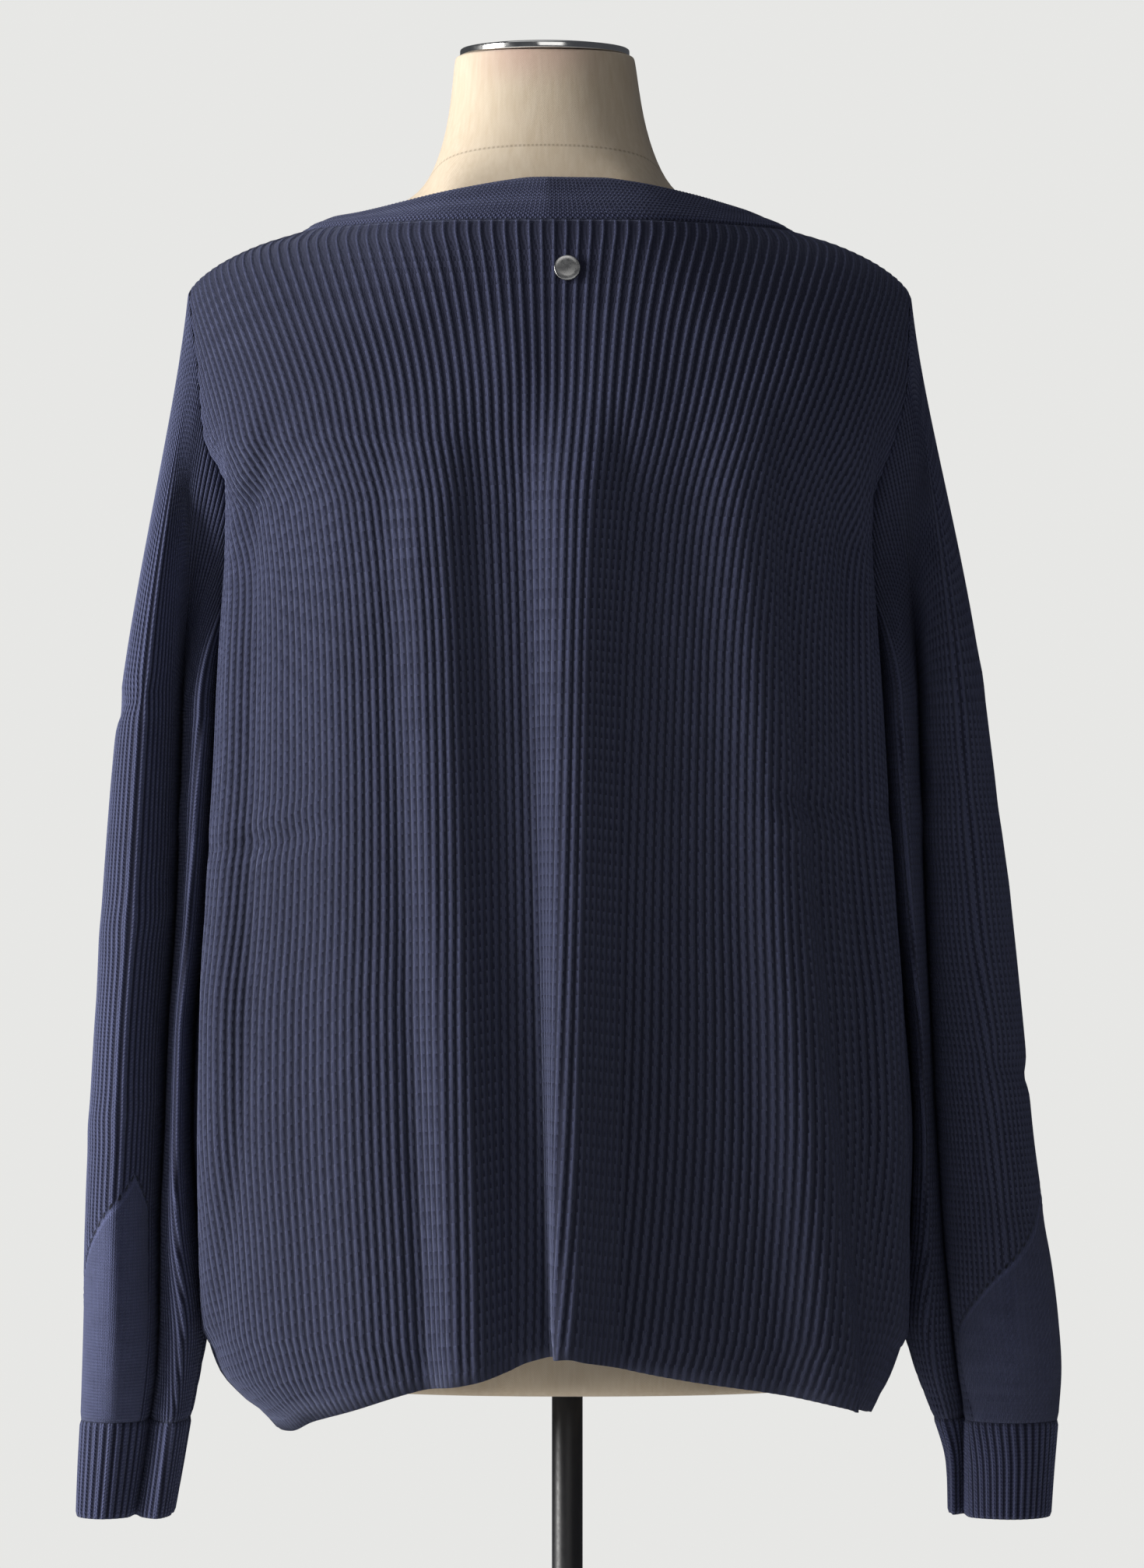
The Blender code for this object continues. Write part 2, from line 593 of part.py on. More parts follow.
def grid_normals(grid):
    across = np.roll(grid, -1, axis=1) - np.roll(grid, 1, axis=1)
    down = np.gradient(grid, axis=0)
    n = np.cross(across, down)
    n /= np.linalg.norm(n, axis=-1, keepdims=True)
    middle = grid.mean(axis=1, keepdims=True)
    return n if (n * (grid - middle)).sum() > 0 else -n


def build_sleeve(cloth, side, table, knit):
    grid, normal = sleeve_grid(cloth, table, side, SLEEVE_COLUMNS)
    crest = np.zeros(SLEEVE_COLUMNS)
    crest[1::2] = RIB_HEIGHT
    ribbed = np.ones(len(grid))
    ribbed[-3:] = 0.0
    outer = grid + normal * (crest[None] * ribbed[:, None])[..., None]
    inner = (grid - normal * WALL)[:, ::2]
    shell("sleeve_" + side, outer, inner, True, knit)


def build_cuff(side, table, knit):
    sign = 1 if side == "left" else -1
    count = SLEEVE_COLUMNS // 2
    heights = np.linspace(CUFF_TOP, CUFF_END, 4)
    grid = np.array([sleeve_ring(table, z, sign, count) for z in heights])
    normal = grid_normals(grid)
    crest = np.zeros(count)
    crest[1::2] = 0.0008
    outer = grid + normal * crest[None, :, None]
    shell("cuff_" + side, outer, grid - normal * WALL, True, knit)


def leant(points):
    """The bust's lean to the wearer's left."""
    p = np.array(points, float)
    p[:, 0] += read(MIDDLE, "bust", p[:, 2])
    return p


def rings_solid(name, rings, made_of):
    """A closed solid through rings of equal count, capped at both ends."""
    count = len(rings[0])
    points = [p for ring in rings for p in ring]
    low, top = len(points), len(points) + 1
    points += [np.mean(rings[0], axis=0), np.mean(rings[-1], axis=0)]
    faces = []
    for r in range(len(rings) - 1):
        for c in range(count):
            d = (c + 1) % count
            faces.append((r * count + c, r * count + d, (r + 1) * count + d, (r + 1) * count + c))
    for c in range(count):
        d = (c + 1) % count
        faces.append((low, d, c))
        last = (len(rings) - 1) * count
        faces.append((top, last + c, last + d))
    return solid(name, points, faces, made_of)


def build_bust(linen):
    rings = []
    for z in np.array(BUST_RINGS) / 1000:
        parts = []
        order_round = (("back", 1, 1), ("back", -1, -1), ("front", -1, 1), ("front", 1, -1))
        for face, mirror, order in order_round:
            sections = dict(BUST, left=BUST["side"])
            x, y = quarter(sections, BUST_RIDGE, z, "left", face, 2.3)
            s = lengths(x, y)
            at = np.linspace(0, s[-1], BUST_SIDES // 4 + 1)
            px, py = np.interp(at, s, x), np.interp(at, s, y)
            py *= 1 if face == "back" else -1
            ring = np.stack([mirror * px, py, np.full(len(at), z)], axis=1)
            parts.append(ring[:-1] if order == 1 else ring[::-1][:-1])
        # round by the left side, the front, the right side and the back
        ring = np.concatenate([parts[0], parts[3], parts[2], parts[1]])
        rings.append(leant(ring))
    return rings_solid("bust", rings, linen)


def circle(x, y, z, radius, count=32):
    a = np.linspace(0, 2 * math.pi, count, endpoint=False)
    return np.stack([x + radius * np.cos(a), y + radius * np.sin(a), np.full(count, z)], axis=1)


def build_cap(steel):
    wide = CAP_RADIUS
    edge = ((wide - 0.0008, 0.0003), (wide, 0.0010), (wide, 0.0042), (wide - 0.0008, 0.0048))
    profile = edge + ((0.020, 0.0070),)
    rings = [leant(circle(0, 0, NECK_TOP + up, radius, 28)) for radius, up in profile]
    rings_solid("neck_cap", rings, steel)


def build_stand(black):
    top = BUST_BOTTOM - SEAM_GAP
    rings_solid("stand_pole", [circle(0, 0, z, POLE_RADIUS, 16) for z in (BASE_HEIGHT + 0.0003, top)], black)
    profile = ((0.0155, -0.007), (0.0170, -0.006), (0.0185, -0.0035), (0.033, -0.002), (0.0345, -SEAM_GAP))
    rings = [circle(0, 0, BUST_BOTTOM + up, radius, 16) for radius, up in profile]
    hollow_collar("stand_collar", rings, black)
    wide = BASE_RADIUS
    edge = ((wide - 0.002, 0.0), (wide, 0.0015), (wide, 0.0095), (wide - 0.003, 0.0122))
    profile = edge + ((0.020, BASE_HEIGHT),)
    rings_solid("stand_base", [circle(0, 0, up, radius, 40) for radius, up in profile], black)


def hollow_collar(name, rings, made_of):
    """A turned collar with a bore that clears the pole."""
    bore = POLE_RADIUS + 0.0003
    outer = np.array(rings)
    inner = np.array([circle(0, 0, ring[0][2], bore, len(ring)) for ring in rings])
    shell(name, outer[::-1], inner[::-1], True, made_of)


def build_disc(cloth, steel):
    z = np.array([1.3894])
    q = cloth.middle(z) / cloth.length("back", "right", z)
    point = cloth.point("back", "right", q, z)[0]
    normal = cloth.normal("back", "right", q, z)[0]
    side = np.array([1.0, 0, 0])
    up = np.cross(normal, side)
    rings = []
    for radius, out in ((0.0068, 0.0018), (0.0070, 0.0021), (0.0070, 0.0028), (0.0060, 0.0033)):
        a = np.linspace(0, 2 * math.pi, 20, endpoint=False)[:, None]
        rings.append(point + normal * out + radius * (np.cos(a) * side + np.sin(a) * up))
    rings_solid("disc", rings, steel)


def main():
    for obj in list(bpy.data.objects):
        bpy.data.objects.remove(obj)
    knit = material("navy_knit", NAVY, 0.9, 0.0)
    linen = material("linen", LINEN, 0.9, 0.0)
    steel = material("bright_metal", STEEL, 0.3, 1.0)
    black = material("black_paint", BLACK, 0.4, 0.0)
    cloth = Cloth()
    build_back(cloth, knit)
    for side in ("left", "right"):
        build_front(cloth, side, knit)
    build_band(cloth, knit)
    build_sleeve(cloth, "left", SLEEVE_LEFT, knit)
    build_sleeve(cloth, "right", SLEEVE_RIGHT, knit)
    build_cuff("left", SLEEVE_LEFT, knit)
    build_cuff("right", SLEEVE_RIGHT, knit)
    build_bust(linen)
    build_cap(steel)
    build_stand(black)
    build_disc(cloth, steel)


main()
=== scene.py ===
"""Rib-knit cardigan on a dress form, in metres. Z is up, the back faces +Y and the wearer's left is +X."""

import math

import bmesh
import bpy
import numpy as np
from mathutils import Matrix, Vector


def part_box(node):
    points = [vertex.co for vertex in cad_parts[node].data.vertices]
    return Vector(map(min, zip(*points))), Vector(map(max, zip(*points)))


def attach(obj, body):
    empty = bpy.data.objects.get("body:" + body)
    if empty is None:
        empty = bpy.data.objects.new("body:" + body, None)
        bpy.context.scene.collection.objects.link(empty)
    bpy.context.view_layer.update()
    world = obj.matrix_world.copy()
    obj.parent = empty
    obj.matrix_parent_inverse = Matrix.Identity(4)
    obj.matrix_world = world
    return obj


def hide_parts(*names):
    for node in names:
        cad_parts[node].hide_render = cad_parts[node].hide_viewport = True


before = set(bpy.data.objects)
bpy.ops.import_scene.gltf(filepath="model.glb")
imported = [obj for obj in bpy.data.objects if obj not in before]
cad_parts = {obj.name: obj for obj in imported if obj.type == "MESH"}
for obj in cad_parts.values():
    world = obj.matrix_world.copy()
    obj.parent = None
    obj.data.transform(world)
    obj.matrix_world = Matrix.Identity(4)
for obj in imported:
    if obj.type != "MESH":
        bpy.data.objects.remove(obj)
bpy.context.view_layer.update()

bl_info = {
    "name": "Rib-knit cardigan on a dress form",
    "version": (1, 0, 0),
    "blender": (4, 5, 0),
    "location": "View3D > Sidebar > Cardigan",
    "description": "Knits the cardigan, dresses the form and lights the studio",
    "category": "Object",
}

# Cloth
FACES = {"back": 1, "front": -1}
RIBS_HALF = 60  # ribs from the centre back to a side seam
WALL = 0.0018  # from the cloth's middle to its inside
SEAM_GAP = 0.0003  # between the panels at a seam
ROW_POWER = 1.35  # rows are closer together at the shoulders
UNDERARM_Z = 1.170  # lowest place of the armhole
CORNER_Z = 1.386  # end of the shoulder seam
NECK_LOW_Z = 1.10  # point of the V neck
NECK_STEEP_Z = 1.385  # above this the neck's seam has more room
NECK_SEAM_Z = 1.4177
NECK_SEAM_RIBS = 25  # ribs from the centre back to the end of the neck seam
BODY_ROWS = 115  # rows down the back, and down the fronts
FRONT_ROWS = 120
INNER_EVERY = 6  # the plain inside has one column for each rib
SUPER = 2.6  # roundness of the torso sections
SECTION_POINTS = 260  # points from a section's middle to its side
SHOULDER_ROUND = 0.085  # height over which the shoulder turns from its ridge to the back
SHOULDER_POWER = 2.2
# Columns of one rib: place across it on the pattern, and height as a share of the rib's
RIB_PLACES = (0.0, 0.14, 0.30, 0.5, 0.70, 0.86)
RIB_HEIGHTS = (0.0, 0.22, 0.80, 1.0, 0.80, 0.22)
CREST_SPAN = 0.72  # share of the pattern that a crest takes
EDGE_DEPTH = 0.0016  # over which a rib dies away at a panel's edge
RIB_PITCH = 0.0046  # width of one rib on the body at rest, and on a sleeve
SLEEVE_PITCH = 0.0042

# Level sections of the worn cloth: height, reach to either side, to the back and to the front (millimetres)
BODY = {
    "z": (745, 755, 768, 775, 792, 817, 870, 920, 975, 1044)
    + (1113, 1177, 1240, 1262, 1285, 1301, 1337, 1376, 1450),
    "left": (144, 150, 160, 169, 184, 191, 195, 198, 196, 188)
    + (181, 177, 171, 172, 184, 193, 197, 198, 198),
    "right": (164, 167, 172, 175, 183, 190, 194, 196, 193, 186)
    + (180, 177, 172, 176, 186, 193, 202, 200, 200),
    "back": (104, 106, 109, 110, 113, 115, 115, 113, 110, 107)
    + (109, 113, 116, 116, 114, 112, 103, 92, 78),
    "front": (112, 114, 117, 119, 122, 124, 126, 126, 124, 124)
    + (128, 132, 124, 119, 113, 108, 92, 76, 58),
}
# Top edge of the shoulders: distance from the middle, height (millimetres)
RIDGE = {
    "x": (0, 50, 80, 101, 132, 158, 176, 190, 198, 204, 209, 215),
    "z": (1470, 1460, 1444, 1431, 1418, 1410, 1402, 1393, 1385, 1374, 1350, 1200),
}
# How far the middle of the cloth stands to the wearer's left, by height (millimetres)
MIDDLE = {
    "z": (740, 783, 1113, 1260, 1430, 1520),
    "cloth": (6, 6, 8.5, 9.5, 10.8, 12.5),
}
# Ribs from the middle to the side, to the armhole's edge and to the V neck's edge, by height
SIDE_RIBS = {
    "z": (740, 1170, 1250, 1285, 1320, 1337, 1353, 1378, 1386, 1400, 1417.7, 1430, 1450),
    "ribs": (60, 60, 56.5, 54.5, 51, 48.5, 45.5, 40, 38, 33, 25, 21, 16),
}
ARM_RIBS = {
    "z": (1170, 1200, 1230, 1262, 1285, 1310, 1337, 1365, 1386),
    "ribs": (60, 57, 53.5, 49.5, 46.5, 44, 41.5, 39.7, 38),
}
NECK_RIBS = {
    "z": (740, 1100, 1130, 1200, 1300, 1380, 1417.7),
    "ribs": (6, 6, 7.2, 11, 17, 21.8, 25),
}
# Folds: face (back is 1 and front is -1), place across the body at 1.25 m and at the hem, half of the flat
# crest, left slope at 1.25 m and at the hem, right slope, height at 1.25 m, 1.0 m and the hem (millimetres),
# and lean to the wearer's left as a share of the height
FOLDS = {
    "face": (1, 1, 1, 1, 1, 1, -1, -1, -1, -1),
    "x_top": (-9, 73, 176, -97, -157, 112, 90, -95, 150, -150),
    "x_hem": (-8, 52, 196, -144, -182, 95, 80, -84, 140, -145),
    "flat": (3, 4, 4, 4, 4, 6, 5, 5, 4, 4),
    "left": (35, 26, 18, 32, 20, 40, 34, 34, 26, 26),
    "left_hem": (14, 22, 18, 32, 22, 46, 34, 34, 26, 26),
    "right": (20, 24, 20, 18, 18, 24, 34, 34, 26, 26),
    "top": (14, 9, 9, 8, 7, 4, 2, 2, 1, 1),
    "mid": (26, 15, 10, 11, 9, 6, 8, 8, 5, 5),
    "hem": (34, 20, 3, 13, 4, 5, 15, 15, 7, 7),
    "lean": (0.30, 0.0, 0.0, 0.1, 0.0, 0.0, 0.0, 0.0, 0.0, 0.0),
}
# Heights of those columns, and where a fold ends at the shoulder
FOLD_TOP_Z, FOLD_MID_Z, FOLD_HEM_Z, FOLD_END_Z = 1.25, 1.0, 0.79, 1.335
# Hem height across the back and across the front (millimetres)
HEM = {
    "x": (-170, -150, -107, -65, -35, -12, 0, 20, 32, 49, 80, 116, 135, 150, 170),
    "back": (766, 776, 786, 793, 799, 805, 808, 804, 799, 794, 788, 776, 769, 761, 758),
    "front": (766, 770, 776, 782, 786, 789, 790, 789, 787, 784, 779, 772, 767, 761, 758),
}
BAND_WIDTH = 0.0255
BAND_RAISE = 0.0018  # from the cloth's middle to the band's outside
BAND_UNDER = 0.0014  # and to its inside
BAND_TOP_Z = 1.444  # just above the band's upper edge
BAND_SIDE_Z = 1.4235  # its upper edge at the shoulders
FRONT_GAP = 0.003  # half the gap between the open fronts

# Sleeve sections: height, outer side, channel's two edges, side near the body, and how far the outer
# lobe, inner lobe, channel and front fold reach back (millimetres)
SLEEVE_LEFT = {
    "z": (706, 735, 765, 790, 820, 870, 920, 975, 1040, 1130, 1190),
    "out": (270.5, 269.5, 268, 267, 266, 265, 263, 260, 256, 249, 241),
    "lobe": (243, 238, 234, 231, 230, 230, 228, 226, 221.5, 218.5, 217),
    "inner": (235, 230, 226, 223, 222, 222, 220, 218, 213.5, 210, 208),
    "near": (220, 215, 210, 205.5, 201.2, 206, 208.7, 207.5, 200.6, 194.0, 189.5),
    "y_out": (20, 22, 25, 34, 42, 47, 49, 50, 50, 49, 48),
    "y_in": (18, 20, 22, 28, 36, 43, 45, 45, 45, 44, 40),
    "y_deep": (-3, -4, -5, -8, -14, -22, -26, -26, -25, -22, -16),
    "y_front": (-22, -24, -27, -35, -43, -49, -52, -53, -53, -52, -50),
}
SLEEVE_RIGHT = {
    "z": (706, 735, 765, 790, 820, 870, 920, 975, 1040, 1130, 1190),
    "out": (266, 268, 270.5, 272, 270, 263, 256, 251, 244.5, 233, 225.5),
    "lobe": (222, 222, 222, 219, 216, 212, 209, 206, 203, 200, 198),
    "inner": (216, 216, 216, 212, 209, 205, 202, 199, 195, 191.5, 190),
    "near": (213, 212, 204, 195, 188.2, 191.7, 193, 190, 182.2, 175.2, 171.5),
    "y_out": (22, 24, 27, 36, 44, 49, 51, 51, 50, 49, 48),
    "y_in": (-2, -1, 2, 12, 16, 10, 12, 26, 43, 43, 40),
    "y_deep": (-8, -9, -10, -12, -18, -26, -28, -27, -25, -22, -16),
    "y_front": (-22, -24, -27, -35, -43, -49, -52, -53, -53, -52, -50),
}
SLEEVES = {"left": (1, SLEEVE_LEFT), "right": (-1, SLEEVE_RIGHT)}
CUFF_TOP = 0.762
CUFF_END = 0.709
SLEEVE_TOP_Z = 1.150  # below this the sleeve's rings are level
SLEEVE_GAP = 0.0004  # from the armhole's edge to the sleeve's, at the sides and at the underarm
UNDERARM_GAP = 0.0028
BAND_ACROSS = 15  # points across the band
BAND_STRAIGHT_ROWS = 13  # rows up its straight part, and finer steps from one row to the next
BAND_FINE = 10
# Upper edge of the band across the back, in millimetres: distance from the middle, height
BAND_TOP = {
    "x": (-123, -101, -87, -67, -52, -33, -18, 18, 33, 52, 67, 87, 101, 119, 145),
    "z": (1423.5, 1426.5, 1429.5, 1434, 1437, 1440.3, 1441.9)
    + (1441.9, 1440.3, 1437, 1434, 1429.5, 1426.5, 1424, 1423.5),
}
BAND_RIB_HEIGHT = 0.0006
BAND_LINES = (0.52, 0.12)  # places across the band of its stitched lines
BAND_LINE_DEPTH = 0.0003

DISC_THICK = 0.0015
DISC_OUT = 0.0010  # from the ribs' crests to the disc's middle
# Collar under the form: radius of its lower part, and thickness of its flange
COLLAR_NARROW = 0.0175
COLLAR_FLANGE = 0.0017
COLLAR_GAP = 0.0003  # round the pole
BASE_CROWN = 0.0028  # rise of the base from its rim to its middle
# Seam round the form's neck: height over the middle, rise to the back. Heights between which the smear begins
LINEN_SEAM = (1.4455, 0.31)
SMEAR_Z = (1.488, 1.514)

# Studio
FLOOR_RADIUS = 5.0
AMBIENT = 0.08
CAMERA_LENS = 145.5
CAMERA_PLACE = (-0.0026, 3.5, 1.1128)
# Soft lights: name, place, aim, size, power, colour
LIGHTS = (
    ("key", (2.95, 0.85, 1.7), (0, 0, 1.1), (1.3, 2.0), 192.0, (1.0, 0.985, 0.96)),
    ("fill", (-0.5, 3.3, 2.1), (0, 0, 1.2), (2.0, 1.6), 13.0, (1.0, 0.98, 0.96)),
    ("top", (0.4, 0.6, 3.4), (0, 0, 1.1), (1.8, 1.8), 6.0, (1.0, 1.0, 1.0)),
)

# Soft creases on the back and fronts: face, centre, half length, slope in degrees, half width, height
# (millimetres)
CREASES = {
    "face": (1, 1, 1, 1, 1, 1, 1, 1, 1, -1, -1, -1, -1, -1),
    "x": (160, 150, -136, -118, 96, -60, 120, -28, 30, 130, -120, 90, -95, 120),
    "z": (1081, 1096, 1103, 1088, 1215, 1195, 960, 1305, 1345, 1085, 1100, 1230, 1210, 950),
    "long": (30, 24, 36, 26, 46, 40, 34, 60, 26, 34, 34, 44, 40, 30),
    "slope": (-8, -14, 10, 16, -52, 50, -20, 90, 90, 10, -10, 48, -50, 16),
    "wide": (6, 6, 7, 6, 12, 11, 10, 24, 13, 9, 9, 12, 12, 10),
    "high": (-2.4, 1.4, -2.4, 1.4, 0.9, 0.8, 0.7, 3.0, 1.5, -1.3, -1.3, 0.8, 0.8, 0.7),
}
# Creases on the sleeves: height, ribs from the outer line, half length in ribs, half width, how high they
# stand (millimetres)
SLEEVE_CREASES = {
    "left": {
        "z": (1155, 1120, 1040, 985, 930, 860, 1090),
        "rib": (4, -18, 14, -10, 8, -16, 30),
        "long": (10, 12, 12, 10, 12, 12, 14),
        "wide": (7, 9, 12, 11, 10, 11, 12),
        "high": (-2.2, 1.1, 1.1, -0.8, 0.7, -0.8, 0.9),
    },
    "right": {
        "z": (955, 1165, 1110, 1045, 880, 835, 1090),
        "rib": (4, -6, 12, -12, 10, -14, 30),
        "long": (12, 10, 12, 12, 12, 12, 14),
        "wide": (7, 10, 12, 11, 11, 12, 12),
        "high": (-2.2, 1.1, -0.8, 0.8, -0.8, 0.7, 0.9),
    },
}
# Ribs round a sleeve and a cuff, and rows down the sleeve's head, its hanging part and the cuff
SLEEVE_RIBS = 84
CUFF_RIBS = 46
HEAD_ROWS = 44
SLEEVE_ROWS = 96
CUFF_ROWS = 22
# Row of eyelets across each forearm: height of its point, the point's rib, fall for each rib, last plain rib
EYELETS = {"left": (0.9000, 14.0, 0.0050, 17.5), "right": (0.8930, 2.0, 0.0037, 24.0)}
EYELET_GROOVE = (0.0013, 0.0007)  # half width and depth
EYELET_LINE = (0.0026, 0.0011, 0.00035)  # distance below the row, half width and height


# ---------------------------------------------------------------- sizes and colours


def length(name, description, default):
    """A size in metres."""
    return bpy.props.FloatProperty(
        name=name, description=description, default=default, min=0, unit="LENGTH"
    )


def colour(name, description, default):
    """A colour of three shares."""
    return bpy.props.FloatVectorProperty(
        name=name, description=description, default=default, size=3, min=0, max=1, subtype="COLOR"
    )


class KnitSizes(bpy.types.PropertyGroup):
    """Sizes of the knitting."""

    rib_height: length("Rib height", "How far a rib stands out of the cloth", 0.0010)
    course: length("Course", "Length of one stitch along a rib", 0.0021)
    band_pitch: length("Band pitch", "Width of a fine rib on the neck band", 0.0023)
    hem_depth: length("Hem depth", "Depth of the finer band at the hem", 0.013)
    crease: bpy.props.FloatProperty(
        name="Crease", description="Strength of the soft creases", default=1.0, min=0, max=2, subtype="FACTOR"
    )


class FormSizes(bpy.types.PropertyGroup):
    """Sizes of the dress form's hard pieces."""

    cap_radius: length("Cap radius", "Radius of the metal neck cap", 0.0468)
    cap_height: length("Cap height", "Height of the metal neck cap's edge", 0.0040)
    disc_radius: length("Disc radius", "Radius of the small metal disc", 0.0070)
    base_radius: length("Base radius", "Radius of the stand's base", 0.175)


class Finishes(bpy.types.PropertyGroup):
    """Colours of the cardigan, the form and the studio."""

    yarn: colour("Yarn", "Colour of the yarn on a rib's crest", (0.064, 0.073, 0.148))
    # Painted shade: this darker colour is put between the ribs, where the grooves fall in shade
    yarn_groove_shade: colour("Yarn, groove shade", "Painted shade of the yarn between the ribs", (0.007, 0.008, 0.022))
    linen_pale: colour("Linen, pale", "Lighter threads of the linen", (0.665, 0.585, 0.475))
    linen_dark: colour("Linen, dark", "Darker threads of the linen", (0.47, 0.37, 0.255))
    metal: colour("Metal", "Polished metal", (0.74, 0.74, 0.73))
    paint: colour("Paint", "Black paint of the stand", (0.013, 0.013, 0.015))
    backdrop: colour("Backdrop", "Colour behind the form", (0.80, 0.80, 0.785))
    floor: colour("Floor", "Colour of the floor", (0.80, 0.80, 0.79))


# ---------------------------------------------------------------- shapes shared by the pieces


def smooth(xs, ys, x):
    """Monotone cubic through a table's points."""
    xs, ys, x = np.asarray(xs, float), np.asarray(ys, float), np.asarray(x, float)
    h = np.diff(xs)
    d = np.diff(ys) / h
    m = np.zeros(len(ys))
    same = d[:-1] * d[1:] > 0
    m[1:-1][same] = (2 * d[:-1] * d[1:])[same] / (d[:-1] + d[1:])[same]
    m[0], m[-1] = d[0], d[-1]
    i = np.clip(np.searchsorted(xs, x) - 1, 0, len(xs) - 2)
    t = np.clip((x - xs[i]) / h[i], 0, 1)
    a, b = 1 - t, t
    return (
        ys[i] * a * a * (1 + 2 * t)
        + ys[i + 1] * b * b * (3 - 2 * t)
        + h[i] * (m[i] * t * a * a - m[i + 1] * t * t * a)
    )


def between(a, b, t):
    """From a to b by the share t."""
    return a * (1 - t) + b * t


def metres(values):
    """A table's millimetres in metres."""
    return np.array(values) / 1000


def read(table, name, z):
    """A column of a table at a height in metres, back in metres."""
    return smooth(metres(table["z"]), metres(table[name]), z)


def step(t):
    """0 below 0 and 1 above 1, with an even swing between them."""
    return 0.5 - 0.5 * np.cos(np.pi * np.clip(t, 0, 1))


def ridge_height(x):
    """Height of the shoulder line at a distance from the middle."""
    return smooth(metres(RIDGE["x"]), metres(RIDGE["z"]), x)


def quarter(z, side, face):
    """Half of a level section's back or front, from its middle to its side."""
    wide, deep = float(read(BODY, side, z)), float(read(BODY, face, z))
    x = np.linspace(0, RIDGE["x"][-1] / 1000, 600)
    reach = min(wide, float(np.interp(-z, -ridge_height(x), x)))
    tau = np.linspace(0, math.pi / 2, SECTION_POINTS)
    x = reach * np.sin(tau) ** (2 / SUPER if reach == wide else 1.0)
    y = deep * np.maximum(1 - (x / wide) ** SUPER, 0) ** (1 / SUPER)
    d = np.clip((ridge_height(x) - z) / SHOULDER_ROUND, 0, 1)
    y = y * (1 - (1 - d) ** SHOULDER_POWER) ** (1 / SHOULDER_POWER)
    y[-1] = 0
    return x, y


def lengths(x, y):
    """Length of a line up to each of its points."""
    return np.concatenate([[0], np.cumsum(np.hypot(np.diff(x), np.diff(y)))])


def runs(points):
    """Length of a line in space up to each of its points."""
    return np.concatenate([[0], np.cumsum(np.linalg.norm(np.diff(points, axis=0), axis=1))])


def fold_height(place, z, face, half):
    """Height of the folds and their sideways lean at places along a section. half maps x to arc length."""
    total = np.zeros_like(place)
    lean = np.zeros_like(place)
    down = np.clip((FOLD_TOP_Z - z) / (FOLD_TOP_Z - FOLD_HEM_Z), 0, 1)
    mid = np.clip((FOLD_TOP_Z - z) / (FOLD_TOP_Z - FOLD_MID_Z), 0, 1)
    low = np.clip((FOLD_MID_Z - z) / (FOLD_MID_Z - FOLD_HEM_Z), 0, 1)
    fade = step(np.clip((FOLD_END_Z - z) / 0.085, 0, 1))
    for k, side in enumerate(FOLDS["face"]):
        if side != face:
            continue
        x0 = between(FOLDS["x_top"][k], FOLDS["x_hem"][k], down) / 1000
        x0 -= float(read(MIDDLE, "cloth", z))
        at = half(x0)
        high = between(FOLDS["top"][k], FOLDS["mid"][k], mid)
        high = between(high, FOLDS["hem"][k], low) * fade / 1000
        flat, left, left_hem, right = (FOLDS[n][k] / 1000 for n in ("flat", "left", "left_hem", "right"))
        left = between(left, left_hem, down)
        h = high * step((place - (at - flat - right)) / right)
        h = h * step(((at + flat + left) - place) / left)
        total += h
        lean += h * FOLDS["lean"][k]
    return total, lean


def body_section(z):
    """Points of the worn cloth's back and front at one height, right to left, and which is the middle one."""
    out = {}
    for face, sign in FACES.items():
        lx, ly = quarter(z, "left", face)
        rx, ry = quarter(z, "right", face)
        x = np.concatenate([-rx[:0:-1], lx])
        y = np.concatenate([ry[:0:-1], ly])
        place = lengths(x, y)
        place -= place[len(rx) - 1]
        h, lean = fold_height(place, z, sign, lambda v: np.interp(v, x, place))
        edge = step((place - place[0]) / 0.02) * step((place[-1] - place) / 0.02)
        h, lean = h * edge, lean * edge
        tx, ty = np.gradient(x), np.gradient(y)
        size = np.hypot(tx, ty)
        tx, ty = tx / size, ty / size
        x2 = x - ty * h + tx * lean
        y2 = y + tx * h + ty * lean
        out[face] = (x2, y2 * sign, len(rx) - 1)
    return out


